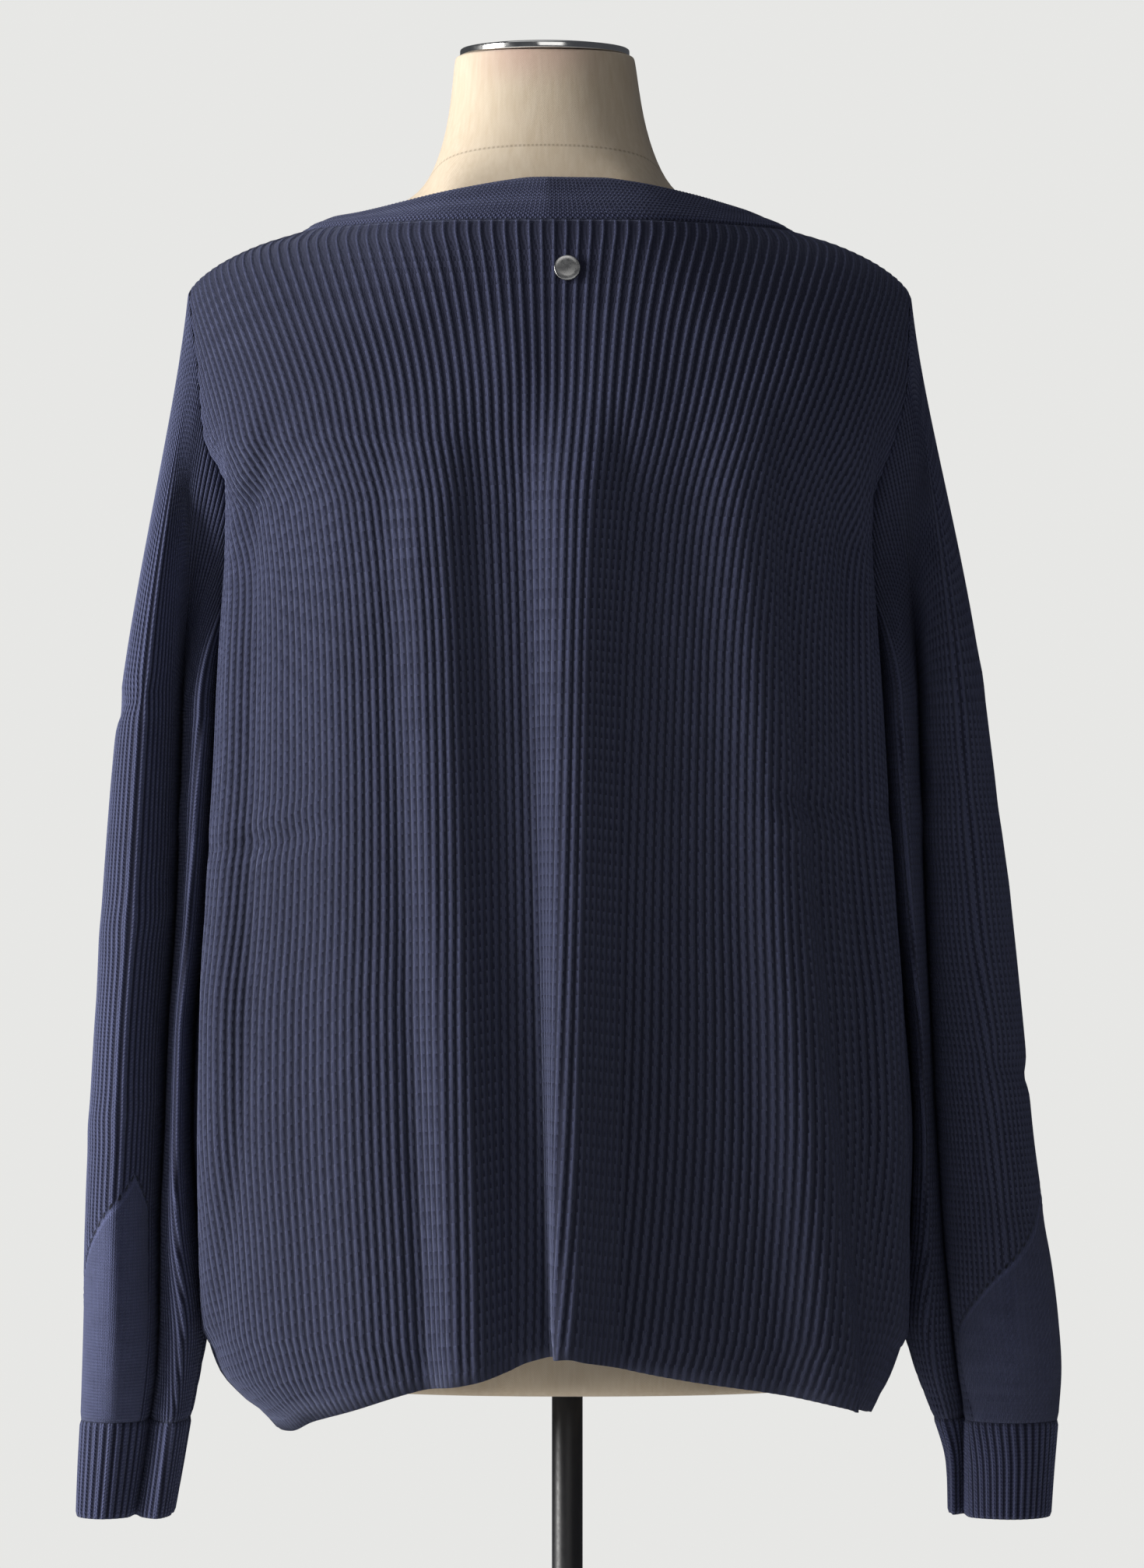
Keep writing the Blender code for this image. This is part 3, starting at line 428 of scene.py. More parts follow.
class Cloth:
    """The torso's cloth as a table over height and place round it."""

    def __init__(self, low=0.735, high=1.4465, levels=300, places=401):
        self.z = np.linspace(low, high, levels)
        self.q = np.linspace(0, 1, places)
        self.xy = {}
        self.arc = {}
        for face in FACES:
            for side in ("left", "right"):
                self.xy[face, side] = np.zeros((levels, places, 2))
                self.arc[face, side] = np.zeros(levels)
        for level, z in enumerate(self.z):
            for face, (x, y, middle) in body_section(z).items():
                for side in ("left", "right"):
                    part = slice(middle, None) if side == "left" else slice(middle, None, -1)
                    px, py = x[part], y[part]
                    s = lengths(px, py)
                    self.arc[face, side][level] = s[-1]
                    self.xy[face, side][level, :, 0] = np.interp(self.q * s[-1], s, px)
                    self.xy[face, side][level, :, 1] = np.interp(self.q * s[-1], s, py)

    def length(self, face, side, z):
        return np.interp(z, self.z, self.arc[face, side])

    def point(self, face, side, q, z):
        grid = self.xy[face, side]
        fz = np.clip((z - self.z[0]) / (self.z[1] - self.z[0]), 0, len(self.z) - 1.001)
        fq = np.clip(q, 0, 1) * (len(self.q) - 1.001)
        i, j = fz.astype(int), fq.astype(int)
        a, b = (fz - i)[..., None], (fq - j)[..., None]
        low = between(grid[i, j], grid[i, j + 1], b)
        high = between(grid[i + 1, j], grid[i + 1, j + 1], b)
        xy = between(low, high, a)
        xy[..., 0] += self.middle(z)
        return np.concatenate([xy, np.asarray(z)[..., None]], axis=-1)

    def middle(self, z):
        return read(MIDDLE, "cloth", z)

    def reach(self, side, z):
        """How far each place of the fronts is from the middle at this height."""
        level = int(round((z - self.z[0]) / (self.z[1] - self.z[0])))
        return np.maximum.accumulate(np.abs(self.xy["front", side][level, :, 0]))

    def normal(self, face, side, q, z):
        e = 0.006
        near = np.clip(q - e, 0, 1)
        far = np.clip(q + e, 0, 1)
        across = self.point(face, side, far, z) - self.point(face, side, near, z)
        up = self.point(face, side, q, z + 0.003) - self.point(face, side, q, z - 0.003)
        n = np.cross(across, up)
        n *= 1 if (face == "back") != (side == "left") else -1
        return n / np.linalg.norm(n, axis=-1, keepdims=True)


def ribs_at(table, z):
    """A number of ribs from a table at a height."""
    return smooth(metres(table["z"]), table["ribs"], z)


def outer_rib(z):
    """Number of the outermost rib: at the side, then along the armhole, then along the shoulder."""
    side = ribs_at(SIDE_RIBS, z)
    arm = np.where(z < UNDERARM_Z, side, ribs_at(ARM_RIBS, z))
    return np.where(z < CORNER_Z, np.minimum(arm, side), side)


def column_top(face, ribs):
    """Where each rib of a panel starts."""
    z = np.linspace(UNDERARM_Z, BAND_TOP_Z, 400)
    top = np.interp(-ribs, -np.minimum.accumulate(outer_rib(z)), z)
    if face == "back":
        return np.minimum(top, NECK_SEAM_Z)
    line = np.linspace(NECK_LOW_Z, NECK_SEAM_Z, 200)
    return np.minimum(top, np.interp(ribs, ribs_at(NECK_RIBS, line), line))


def hem_height(cloth, face, side, ribs):
    """Height of the hem at each rib."""
    z = np.full(len(ribs), 0.785)
    for _ in range(4):
        x = cloth.point(face, side, ribs / RIBS_HALF, z)[:, 0]
        z = smooth(metres(HEM["x"]), metres(HEM[face]), x)
    return z


def row_heights(top, low, rows):
    """Heights of a panel's rows down each rib."""
    v = np.linspace(0, 1, rows)[:, None] ** ROW_POWER
    return between(top[None], low[None], v)


def rib_columns(ribs):
    """Columns across whole ribs: number of the rib and place in its profile."""
    number = np.repeat(np.arange(ribs), len(RIB_PLACES))
    profile = np.tile(np.arange(len(RIB_PLACES)), ribs)
    return number, profile


def creases(table, x, z, strength):
    """Height of the soft creases at places on a face."""
    total = np.zeros_like(x)
    for k in range(len(table["z"])):
        slope = math.radians(table["slope"][k])
        dx = x - table["x"][k] / 1000
        dz = z - table["z"][k] / 1000
        along = (dx * math.cos(slope) + dz * math.sin(slope)) / (table["long"][k] / 1000)
        off = (dz * math.cos(slope) - dx * math.sin(slope)) / (table["wide"][k] / 1000)
        total += table["high"][k] / 1000 * np.exp(-(along**2) - off**2)
    return total * strength


def face_creases(face, points, strength):
    """Height of the back's or the fronts' creases at points."""
    chosen = [k for k, sign in enumerate(CREASES["face"]) if sign == FACES[face]]
    table = {name: [values[k] for k in chosen] for name, values in CREASES.items()}
    return creases(table, points[..., 0], points[..., 2], strength)


def panel_side(cloth, face, side, ribs, rows, sizes):
    """Base points, normals, heights and pattern places of half a panel, from one rib to another."""
    number, profile = rib_columns(ribs[1] - ribs[0])
    nominal = np.append(ribs[0] + number + np.array(RIB_PLACES)[profile], ribs[1])
    profile = np.append(profile, 0)
    number = np.append(number, ribs[1] - ribs[0])
    z = row_heights(column_top(face, nominal), hem_height(cloth, face, side, nominal), rows)
    low = z[-1].copy()
    z[0] -= SEAM_GAP / 2
    arc = cloth.length(face, side, z)
    across = ribs_at(SIDE_RIBS, z)
    pitch = np.clip(arc / across, 0.003, 0.009)
    # A rib pulled wide shows a narrower crest
    share = np.clip(CREST_SPAN - 0.05 - (pitch - RIB_PITCH) / 0.0018 * 0.36, 0.27, CREST_SPAN)
    flat = np.array(RIB_PLACES)[profile]
    place = np.where(flat == 0, 0.0, 0.5 + (flat - 0.5) * share / CREST_SPAN)
    q = (ribs[0] + number + place) / across
    gap = SEAM_GAP / 2 / arc
    q = np.minimum(q, outer_rib(z) / across - gap)
    if face == "front":
        clear = gap * (1 + 6 * step((z - NECK_STEEP_Z) / 0.015))
        q = np.maximum(q, ribs_at(NECK_RIBS, z) / across + clear)
    points, normals = cloth.point(face, side, q, z), cloth.normal(face, side, q, z)
    points = points + normals * face_creases(face, points, sizes.crease)[..., None]
    hem = np.clip((z - low) / sizes.hem_depth, 0, 1)
    # Ribs are lower in the hem's band, and die away at both ends
    relief = np.array(RIB_HEIGHTS)[profile] * sizes.rib_height * np.clip(0.45 + share, 0.6, 1.1)
    relief = relief * (0.55 + 0.45 * step((hem - 0.75) / 0.25))
    edge = np.minimum(np.abs(z - z[0]), np.abs(z - low)) / EDGE_DEPTH
    relief = relief * (0.25 + 0.75 * step(edge))
    down = np.abs(np.diff(points[:, :, 2], axis=0, prepend=points[:1, :, 2]))
    courses = np.cumsum(down, axis=0) / sizes.course
    pattern = np.stack([nominal[None] + 0 * z, -courses], axis=-1)
    return points, normals, relief, pattern


def joined_halves(left, right):
    """A whole panel from its two halves, right to left."""
    out = []
    for a, b in zip(left, right):
        b = b[:, :0:-1]
        out.append(np.concatenate([b, a], axis=1))
    return out


def grid_faces(start, rows, columns, closed, turn):
    """Quads between the rows of a grid, as point numbers and as pattern places."""
    many = columns if closed else columns - 1
    r, c = np.meshgrid(np.arange(rows - 1), np.arange(many), indexing="ij")
    r, c = r.ravel(), c.ravel()
    corners = [(r, c), (r + 1, c), (r + 1, c + 1), (r, c + 1)]
    if turn:
        corners = corners[::-1]
    points = np.stack([start + a * columns + b % columns for a, b in corners], axis=1)
    return points, np.stack([np.stack([a, b], axis=1) for a, b in corners], axis=1)


def shell(name, base, normals, relief, pattern, finish, closed=False, under=WALL, attributes=None):
    """One knitted wall over base points: ribs outside, plain inside, its knitting pattern as a UV map."""
    outer = base + normals * relief[..., None]
    inner = (base - normals * under)[:, ::INNER_EVERY]
    rows, many = outer.shape[:2]
    few = inner.shape[1]
    ratio = many // few if closed else (many - 1) // (few - 1)
    points = np.concatenate([outer.reshape(-1, 3), inner.reshape(-1, 3)])
    start = rows * many
    out_faces, out_places = grid_faces(0, rows, many, closed, False)
    in_faces, in_places = grid_faces(start, rows, few, closed, True)
    in_places = in_places * np.array([1, ratio])
    rims, rim_places = [], []
    for c in range(few if closed else few - 1):
        for row, turn in ((0, 1), (rows - 1, -1)):
            o = [(row * many + (c * ratio + k) % many, c * ratio + k) for k in range(ratio + 1)]
            i = [(start + row * few + (c + k) % few, (c + k) * ratio) for k in range(2)]
            half = ratio // 2
            made = [(o[k], o[k + 1], i[0]) for k in range(half)]
            made += [(o[half], i[1], i[0])]
            made += [(o[k], o[k + 1], i[1]) for k in range(half, ratio)]
            for tri in made:
                tri = tri[::turn]
                rims.append([p for p, _ in tri])
                rim_places.append([(row, place) for _, place in tri])
    quads = [out_faces, in_faces]
    quad_places = [out_places, in_places]
    if not closed:
        r = np.arange(rows - 1)
        first = np.stack([(r + 1) * many, r * many, start + r * few, start + (r + 1) * few], axis=1)
        last = np.stack([r * many, (r + 1) * many, start + (r + 1) * few, start + r * few], axis=1)
        last += np.array([many - 1, many - 1, few - 1, few - 1])
        quads += [first, last]
        for column, order in ((0, (1, 0, 0, 1)), (many - 1, (0, 1, 1, 0))):
            corners = [np.stack([r + k, r * 0 + column], axis=1) for k in order]
            quad_places.append(np.stack(corners, axis=1))
    quads = np.concatenate(quads)
    quad_places = np.concatenate(quad_places).reshape(-1, 2)
    places = np.concatenate([quad_places, np.array(rim_places).reshape(-1, 2)])
    obj = mesh_piece(name, points, quads, np.array(rims))
    layer = obj.data.uv_layers.new(name="knit")
    layer.data.foreach_set("uv", pattern[places[:, 0], places[:, 1]].astype(np.float32).ravel())
    for key, values in (attributes or {}).items():
        made = obj.data.attributes.new(key, "FLOAT", "POINT")
        coarse = values[:, ::ratio][:, :few]
        made.data.foreach_set("value", np.concatenate([values.ravel(), coarse.ravel()]).astype(np.float32))
    obj.data.materials.append(finish)
    return obj


def mesh_piece(name, points, quads, tris):
    """An object from arrays of points, quads and triangles, smooth and facing out."""
    mesh = bpy.data.meshes.new(name)
    mesh.vertices.add(len(points))
    mesh.vertices.foreach_set("co", points.astype(np.float32).ravel())
    loops = np.concatenate([quads.ravel(), tris.ravel()]).astype(np.int32)
    sizes = np.concatenate([np.full(len(quads), 4), np.full(len(tris), 3)])
    mesh.loops.add(len(loops))
    mesh.loops.foreach_set("vertex_index", loops)
    mesh.polygons.add(len(sizes))
    mesh.polygons.foreach_set("loop_start", np.concatenate([[0], np.cumsum(sizes)[:-1]]).astype(np.int32))
    mesh.polygons.foreach_set("use_smooth", np.ones(len(sizes), bool))
    mesh.update(calc_edges=True)
    corners = points[quads]
    volume = np.einsum("ij,ij->", corners[:, 0], np.cross(corners[:, 1], corners[:, 2]))
    volume += np.einsum("ij,ij->", corners[:, 0], np.cross(corners[:, 2], corners[:, 3]))
    if volume < 0:
        mesh.flip_normals()
    obj = bpy.data.objects.new(name, mesh)
    bpy.context.scene.collection.objects.link(obj)
    return obj


def settle(obj, slot, *nodes):
    """The piece rides on the body and hides the CAD nodes it stands for; slot is not used."""
    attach(obj, "root")
    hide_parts(*nodes)
    return obj


def sheet_area(points, closed):
    """Area of a smooth grid of points."""
    if closed:
        points = np.concatenate([points, points[:, :1]], axis=1)
    a = points[1:, 1:] - points[:-1, :-1]
    b = points[1:, :-1] - points[:-1, 1:]
    return float(np.linalg.norm(np.cross(a, b), axis=-1).sum() / 2)


def inset_place(cloth, side, q, z, width):
    """Place on the fronts this far towards the middle, level with q, and clear of the other front."""
    x = np.abs(cloth.point("front", side, q, z)[..., 0] - cloth.middle(z)) - width
    x = np.maximum(x, FRONT_GAP)
    return np.array([np.interp(a, cloth.reach(side, b), cloth.q) for a, b in zip(x, z)])


def band_rows(cloth, side):
    """Half of the band, from the hem up the front and round to the back's middle: places q and z."""
    across = np.linspace(0, 1, 3)[None]
    first = NECK_RIBS["ribs"][0]
    low = hem_height(cloth, "front", side, np.array([float(first)]))
    straight = row_heights(column_top("front", np.array([float(first)])), low, BAND_STRAIGHT_ROWS)[::-1, 0]
    slope = column_top("front", np.arange(first + 1.0, NECK_SEAM_RIBS))
    outer = np.concatenate([straight, slope, [NECK_SEAM_Z]])
    rise = np.clip((outer - NECK_LOW_Z) / (NECK_SEAM_Z - NECK_LOW_Z), 0, 1)
    inner = outer + (BAND_SIDE_Z - NECK_SEAM_Z) * rise
    oq = ribs_at(NECK_RIBS, outer) / ribs_at(SIDE_RIBS, outer)
    iq = inset_place(cloth, side, oq, outer, BAND_WIDTH)
    iq[-1] = 1.0
    clear = 1 + 4 * step((outer - NECK_LOW_Z) / 0.02) + 5 * step((outer - NECK_STEEP_Z) / 0.015)
    oq = oq - SEAM_GAP / 2 * clear / cloth.length("front", side, outer)
    front = (between(oq[:, None], iq[:, None], across), between(outer[:, None], inner[:, None], across))
    ribs = np.arange(NECK_SEAM_RIBS - 1.0, -1, -1)
    q = ribs / NECK_SEAM_RIBS
    low = np.full(len(q), NECK_SEAM_Z + SEAM_GAP)
    top = low + BAND_WIDTH / 2
    for _ in range(8):
        x = cloth.point("back", side, q, top)[..., 0]
        top = smooth(BAND_TOP["x"], BAND_TOP["z"], x * 1000) / 1000
    back = (q[:, None] + 0 * across, between(low[:, None], top[:, None], across))
    return front, back


def spline(points, per):
    """A closed smooth curve through points, with per of them from each to the next."""
    p = np.asarray(points, float)
    n = len(p)
    made = []
    for k in range(n):
        a, b, c, d = p[k - 1], p[k], p[(k + 1) % n], p[(k + 2) % n]
        t1 = np.linalg.norm(b - a) ** 0.5
        t2 = t1 + np.linalg.norm(c - b) ** 0.5
        t3 = t2 + np.linalg.norm(d - c) ** 0.5
        t = np.linspace(t1, t2, per, endpoint=False)[:, None]
        a1 = (t1 - t) / t1 * a + t / t1 * b
        a2 = (t2 - t) / (t2 - t1) * b + (t - t1) / (t2 - t1) * c
        a3 = (t3 - t) / (t3 - t2) * c + (t - t2) / (t3 - t2) * d
        b1 = (t2 - t) / t2 * a1 + t / t2 * a2
        b2 = (t3 - t) / (t3 - t1) * a2 + (t - t1) / (t3 - t1) * a3
        made.append((t2 - t) / (t2 - t1) * b1 + (t - t1) / (t2 - t1) * b2)
    return np.concatenate(made)


def sleeve_ring(table, z, sign):
    """One level section of a hanging sleeve: two lobes and the channel between them, open to the back."""
    names = ("out", "lobe", "inner", "near", "y_out", "y_in", "y_deep", "y_front")
    out, lobe, inner, near, yo, yi, yd, yf = (float(read(table, n, z)) for n in names)
    wide = out - near
    # Outer side, outer lobe, channel, inner lobe, side near the body, then along the front
    corners = (
        (out, 0.1 * yo),
        (out - 0.16 * (out - lobe), 0.72 * yo),
        (lobe + 0.48 * (out - lobe), yo),
        (lobe + 0.02 * (out - lobe), yd + 0.66 * (yo - yd)),
        (0.55 * lobe + 0.45 * inner, yd),
        (inner - 0.05 * (inner - near), yd + 0.66 * (yi - yd)),
        (0.5 * (inner + near) - 0.001, yi),
        (near + 0.0002, 0.4 * yi - 0.004),
        (near + 0.0003, 0.36 * yf),
        (near - 0.0006, 0.70 * yf),
        (near + 0.5 * wide, yf),
        (out - 0.13 * wide, 0.66 * yf),
    )
    ring = np.array([(sign * x, y, z) for x, y in corners])
    return spline(ring, 48)


CACHE = {}


def worn_cloth():
    """The torso's cloth, worked out once."""
    if "cloth" not in CACHE:
        CACHE["cloth"] = Cloth()
    return CACHE["cloth"]


def knit_sizes():
    """The sizes of the knitting in the panel."""
    return bpy.context.scene.knit_sizes


# ---------------------------------------------------------------- finishes


class Nodes:
    """Adds nodes to a tree, each placed after the last."""

    def __init__(self, tree):
        self.tree = tree
        self.count = 0

    def add(self, kind, inputs=None, **settings):
        node = self.tree.nodes.new(kind)
        node.location = (200 * (self.count % 12) - 1400, -220 * (self.count // 12))
        self.count += 1
        for key, value in settings.items():
            setattr(node, key, value)
        self.fill(node, inputs or {})
        return node

    def fill(self, node, inputs):
        """Links or sets a node's inputs."""
        for key, value in inputs.items():
            if isinstance(value, bpy.types.NodeSocket):
                self.tree.links.new(value, node.inputs[key])
            else:
                node.inputs[key].default_value = value

    def math(self, operation, a, b=0.0, c=0.0, clamp=False):
        given = {0: a, 1: b, 2: c}
        return self.add("ShaderNodeMath", given, operation=operation, use_clamp=clamp).outputs[0]

    def times(self, a, b):
        return self.math("MULTIPLY", a, b)

    def scaled(self, a, b, c, clamp=False):
        """a times b, and c more."""
        return self.math("MULTIPLY_ADD", a, b, c, clamp)

    def rest(self, a):
        """What a leaves of 1."""
        return self.math("SUBTRACT", 1.0, a)

    def mix(self, share, a, b):
        return self.add("ShaderNodeMix", {0: share, 6: a, 7: b}, data_type="RGBA").outputs[2]

    def noise(self, place, scale, detail, roughness=0.5):
        given = {"Vector": place, "Scale": scale, "Detail": detail, "Roughness": roughness}
        return self.add("ShaderNodeTexNoise", given).outputs["Fac"]

    def ramp(self, value, low, high):
        """0 below low, 1 above high."""
        given = {0: value, 1: low, 2: high, 3: 0.0, 4: 1.0}
        return self.add("ShaderNodeMapRange", given, interpolation_type="SMOOTHSTEP").outputs[0]


def new_group(name, inputs, outputs):
    """A shader node group: inputs by name, each a number or, as None, a place, and names of outputs."""
    tree = bpy.data.node_groups.new(name, "ShaderNodeTree")
    for label, default in inputs.items():
        kind = "Vector" if default is None else "Float"
        socket = tree.interface.new_socket(label, in_out="INPUT", socket_type="NodeSocket" + kind)
        if default is not None:
            socket.default_value = default
    for label in outputs:
        tree.interface.new_socket(label, in_out="OUTPUT", socket_type="NodeSocketFloat")
    nodes = Nodes(tree)
    return tree, nodes, nodes.add("NodeGroupInput"), nodes.add("NodeGroupOutput")


def stitch_group():
    """Knit stitches along ribs: each crest is a chain of slanting legs, each groove a row of small bars."""
    if "knit stitches" in bpy.data.node_groups:
        return bpy.data.node_groups["knit stitches"]
    inputs = {"Across": 0.0, "Along": 0.0, "Crest": CREST_SPAN / 2, "Slant": 0.5}
    tree, n, given, out = new_group("knit stitches", inputs, ("Height", "Crest"))
    across, along = given.outputs["Across"], given.outputs["Along"]
    off = n.math("ABSOLUTE", n.math("SUBTRACT", n.math("FRACT", across), 0.5))
    place = n.math("DIVIDE", off, given.outputs["Crest"])
    inside = n.math("MINIMUM", place, 1.0)
    leg = n.math("SINE", n.times(inside, math.pi))
    leg = n.math("POWER", n.math("MAXIMUM", leg, 0.0), 0.7)
    phase = n.math("ADD", along, n.times(inside, given.outputs["Slant"]))
    wave = n.scaled(n.math("COSINE", n.times(phase, 2 * math.pi)), 0.5, 0.5)
    stitch = n.times(leg, n.scaled(wave, 0.75, 0.25))
    bar = n.scaled(n.math("COSINE", n.times(along, 2 * math.pi)), 0.10, 0.10)
    crest = n.rest(n.ramp(place, 0.45, 1.1))
    height = n.scaled(n.rest(crest), bar, n.times(stitch, crest))
    n.fill(out, {"Height": height, "Crest": crest})
    return tree


def fuzz_group():
    """Loose fibres and slightly uneven yarn, on the surface's own places."""
    if "wool fuzz" in bpy.data.node_groups:
        return bpy.data.node_groups["wool fuzz"]
    tree, n, given, out = new_group("wool fuzz", {"Place": None}, ("Height", "Tone"))
    place = given.outputs["Place"]
    hair = n.noise(place, 1500.0, 3.0, 0.7)
    broad = n.noise(place, 90.0, 3.0, 0.6)
    slow = n.noise(place, 9.0, 2.0)
    tone = n.scaled(broad, 0.35, n.times(slow, 0.30))
    tone = n.scaled(hair, 0.45, tone)
    n.fill(out, {"Height": hair, "Tone": tone})
    return tree


def new_finish(name):
    """A material: its nodes, its shader and the surface's own places."""
    made = bpy.data.materials.new(name)
    made.use_nodes = True
    n = Nodes(made.node_tree)
    place = n.add("ShaderNodeTexCoord").outputs["Object"]
    return made, n, made.node_tree.nodes["Principled BSDF"], place


def knit_finish(name, jersey=False):
    """Navy wool knit, ribbed, with painted shade in its grooves, and with jersey also plain beyond a row of
    eyelets painted dark as shade, under which a raised line gets a painted highlight.
    """
    colours = bpy.context.scene.finishes
    made, n, shader, place = new_finish(name)
    split = n.add("ShaderNodeSeparateXYZ", {0: n.add("ShaderNodeUVMap", uv_map="knit").outputs[0]})
    across, along = split.outputs[0], split.outputs[1]
    fuzz = n.add("ShaderNodeGroup", {"Place": place}, node_tree=fuzz_group())

    def stitches(a, b, crest, slant):
        given = {"Across": a, "Along": b, "Crest": crest, "Slant": slant}
        return n.add("ShaderNodeGroup", given, node_tree=stitch_group())

    rib = stitches(across, along, CREST_SPAN / 2, 0.45)
    height, crest = rib.outputs["Height"], rib.outputs["Crest"]
    if jersey:
        off = n.add("ShaderNodeAttribute", attribute_name="eyelet_off").outputs["Fac"]
        run = n.add("ShaderNodeAttribute", attribute_name="eyelet_run").outputs["Fac"]
        plain = n.rest(n.ramp(off, -1.1, 1.1))
        aside = n.times(n.math("SUBTRACT", n.math("FRACT", run), 0.5), SLEEVE_PITCH * 1000)
        far = n.math("SQRT", n.math("ADD", n.times(aside, aside), n.times(off, off)))
        eyelet_hole_shade = n.rest(n.ramp(far, 0.7, 1.25))
        highlight_falloff = n.ramp(n.math("ABSOLUTE", n.math("ADD", off, 2.5)), 0.4, 1.4)
        flat = stitches(n.times(across, 2.0), n.times(along, 1.15), 0.5, 0.5)
        height = n.math(
            "ADD",
            n.times(height, n.rest(plain)),
            n.times(n.times(flat.outputs["Height"], 0.55), plain),
        )
        crest = n.math("MAXIMUM", crest, n.times(plain, 0.86))
    depth = n.scaled(fuzz.outputs["Height"], 0.45, n.times(height, 0.9))
    bump = n.add("ShaderNodeBump", {"Height": depth, "Distance": 0.0011, "Strength": 1.0})
    # Painted shade and highlight: the yarn darkens towards the grooves and stays light along each crest
    lit = n.scaled(height, 0.35, n.times(crest, 0.65))
    lit = n.math("MULTIPLY", lit, n.scaled(fuzz.outputs["Tone"], 2.4, -0.15), clamp=True)
    shade = n.mix(lit, (*colours.yarn_groove_shade, 1), (*colours.yarn, 1))
    if jersey:
        # Painted highlight: a paler copy of the yarn along the raised line below the eyelets
        pale = tuple(1.6 * c for c in colours.yarn)
        shade = n.mix(n.scaled(highlight_falloff, -0.45, 0.45), shade, (*pale, 1))
        # Painted shade: the eyelet holes are painted almost black, standing in for the shade inside them
        shade = n.mix(eyelet_hole_shade, shade, (0.0015, 0.002, 0.006, 1))
    n.fill(shader, {"Base Color": shade, "Normal": bump.outputs[0]})
    n.fill(shader, {"Roughness": 0.92, "Specular IOR Level": 0.25})
    n.fill(shader, {"Sheen Weight": 0.35, "Sheen Roughness": 0.45, "Sheen Tint": (0.42, 0.47, 0.72, 1)})
    return made


def linen_finish():
    """Plain-weave linen with a stitched seam round the neck and a faint smear under the cap."""
    colours = bpy.context.scene.finishes
    made, n, shader, place = new_finish("linen weave")
    x, y, z = n.add("ShaderNodeSeparateXYZ", {0: place}).outputs
    turn = n.math("ARCTAN2", n.math("SUBTRACT", x, 0.0115), y)
    slub = n.noise(place, 260.0, 2.0)
    warp = n.scaled(turn, 75.0, n.times(slub, 0.5))
    weft = n.scaled(z, 1350.0, n.times(slub, 0.5))

    def thread(v):
        return n.scaled(n.math("SINE", n.times(v, 2 * math.pi)), 0.5, 0.5)

    up, over = thread(warp), thread(weft)
    not_up, not_over = n.rest(up), n.rest(over)
    weave = n.math("MAXIMUM", n.times(up, over), n.times(not_up, not_over))
    long = n.add("ShaderNodeMapping", {0: place, 3: (1, 1, 0.12)}).outputs[0]
    grain = n.noise(long, 420.0, 3.0)
    soil = n.noise(place, 14.0, 3.0)
    tone = n.scaled(weave, 0.30, n.scaled(soil, 0.5, -0.35))
    tone = n.scaled(grain, 0.7, tone, clamp=True)
    shade = n.mix(tone, (*colours.linen_dark, 1), (*colours.linen_pale, 1))
    seam_z = n.scaled(y, LINEN_SEAM[1], LINEN_SEAM[0])
    off = n.math("ABSOLUTE", n.math("SUBTRACT", z, seam_z))
    line = n.rest(n.ramp(off, 0.0003, 0.0009))
    dash = n.ramp(thread(n.times(turn, 22.0)), 0.35, 0.65)
    stitch = n.times(line, n.scaled(dash, 0.65, 0.2))
    shade = n.mix(n.times(stitch, 0.62), shade, (0.20, 0.155, 0.11, 1))
    high = n.ramp(z, *SMEAR_Z)
    near = n.rest(n.ramp(n.math("ABSOLUTE", n.math("ADD", turn, -0.1)), 0.15, 1.1))
    smear = n.times(n.times(high, near), n.ramp(soil, 0.30, 0.62))
    shade = n.mix(n.times(smear, 0.45), shade, (0.50, 0.28, 0.26, 1))
    fold = n.scaled(weave, 0.5, n.times(grain, 0.5))
    fold = n.scaled(line, -0.8, fold)
    bump = n.add("ShaderNodeBump", {"Height": fold, "Distance": 0.0003, "Strength": 0.7})
    n.fill(shader, {"Base Color": shade, "Normal": bump.outputs[0]})
    n.fill(shader, {"Roughness": 0.88, "Specular IOR Level": 0.3, "Sheen Weight": 0.15})
    return made


def wear_group():
    """Faint handling marks: a roughness between its low and high, and a height."""
    if "handling marks" in bpy.data.node_groups:
        return bpy.data.node_groups["handling marks"]
    inputs = {"Place": None, "Scale": 60.0, "Low": 0.1, "High": 0.3}
    tree, n, given, out = new_group("handling marks", inputs, ("Roughness", "Height"))
    noise = n.noise(given.outputs["Place"], given.outputs["Scale"], 4.0, 0.65)
    ends = {3: given.outputs["Low"], 4: given.outputs["High"]}
    rough = n.add("ShaderNodeMapRange", {0: noise, 1: 0.3, 2: 0.7, **ends})
    n.fill(out, {"Roughness": rough.outputs[0], "Height": noise})
    return tree


def hard_finish(name, base, metallic, low, high, bump_height, scale):
    """Metal or paint with faint marks. low and high are its least and most roughness."""
    made, n, shader, place = new_finish(name)
    given = {"Place": place, "Scale": scale, "Low": low, "High": high}
    rough, height = n.add("ShaderNodeGroup", given, node_tree=wear_group()).outputs
    tint = n.mix(height, (*[c * 0.86 for c in base], 1), (*base, 1))
    bump = n.add("ShaderNodeBump", {"Height": height, "Distance": bump_height, "Strength": 0.5})
    n.fill(shader, {"Base Color": tint, "Normal": bump.outputs[0], "Roughness": rough, "Metallic": metallic})
    return made


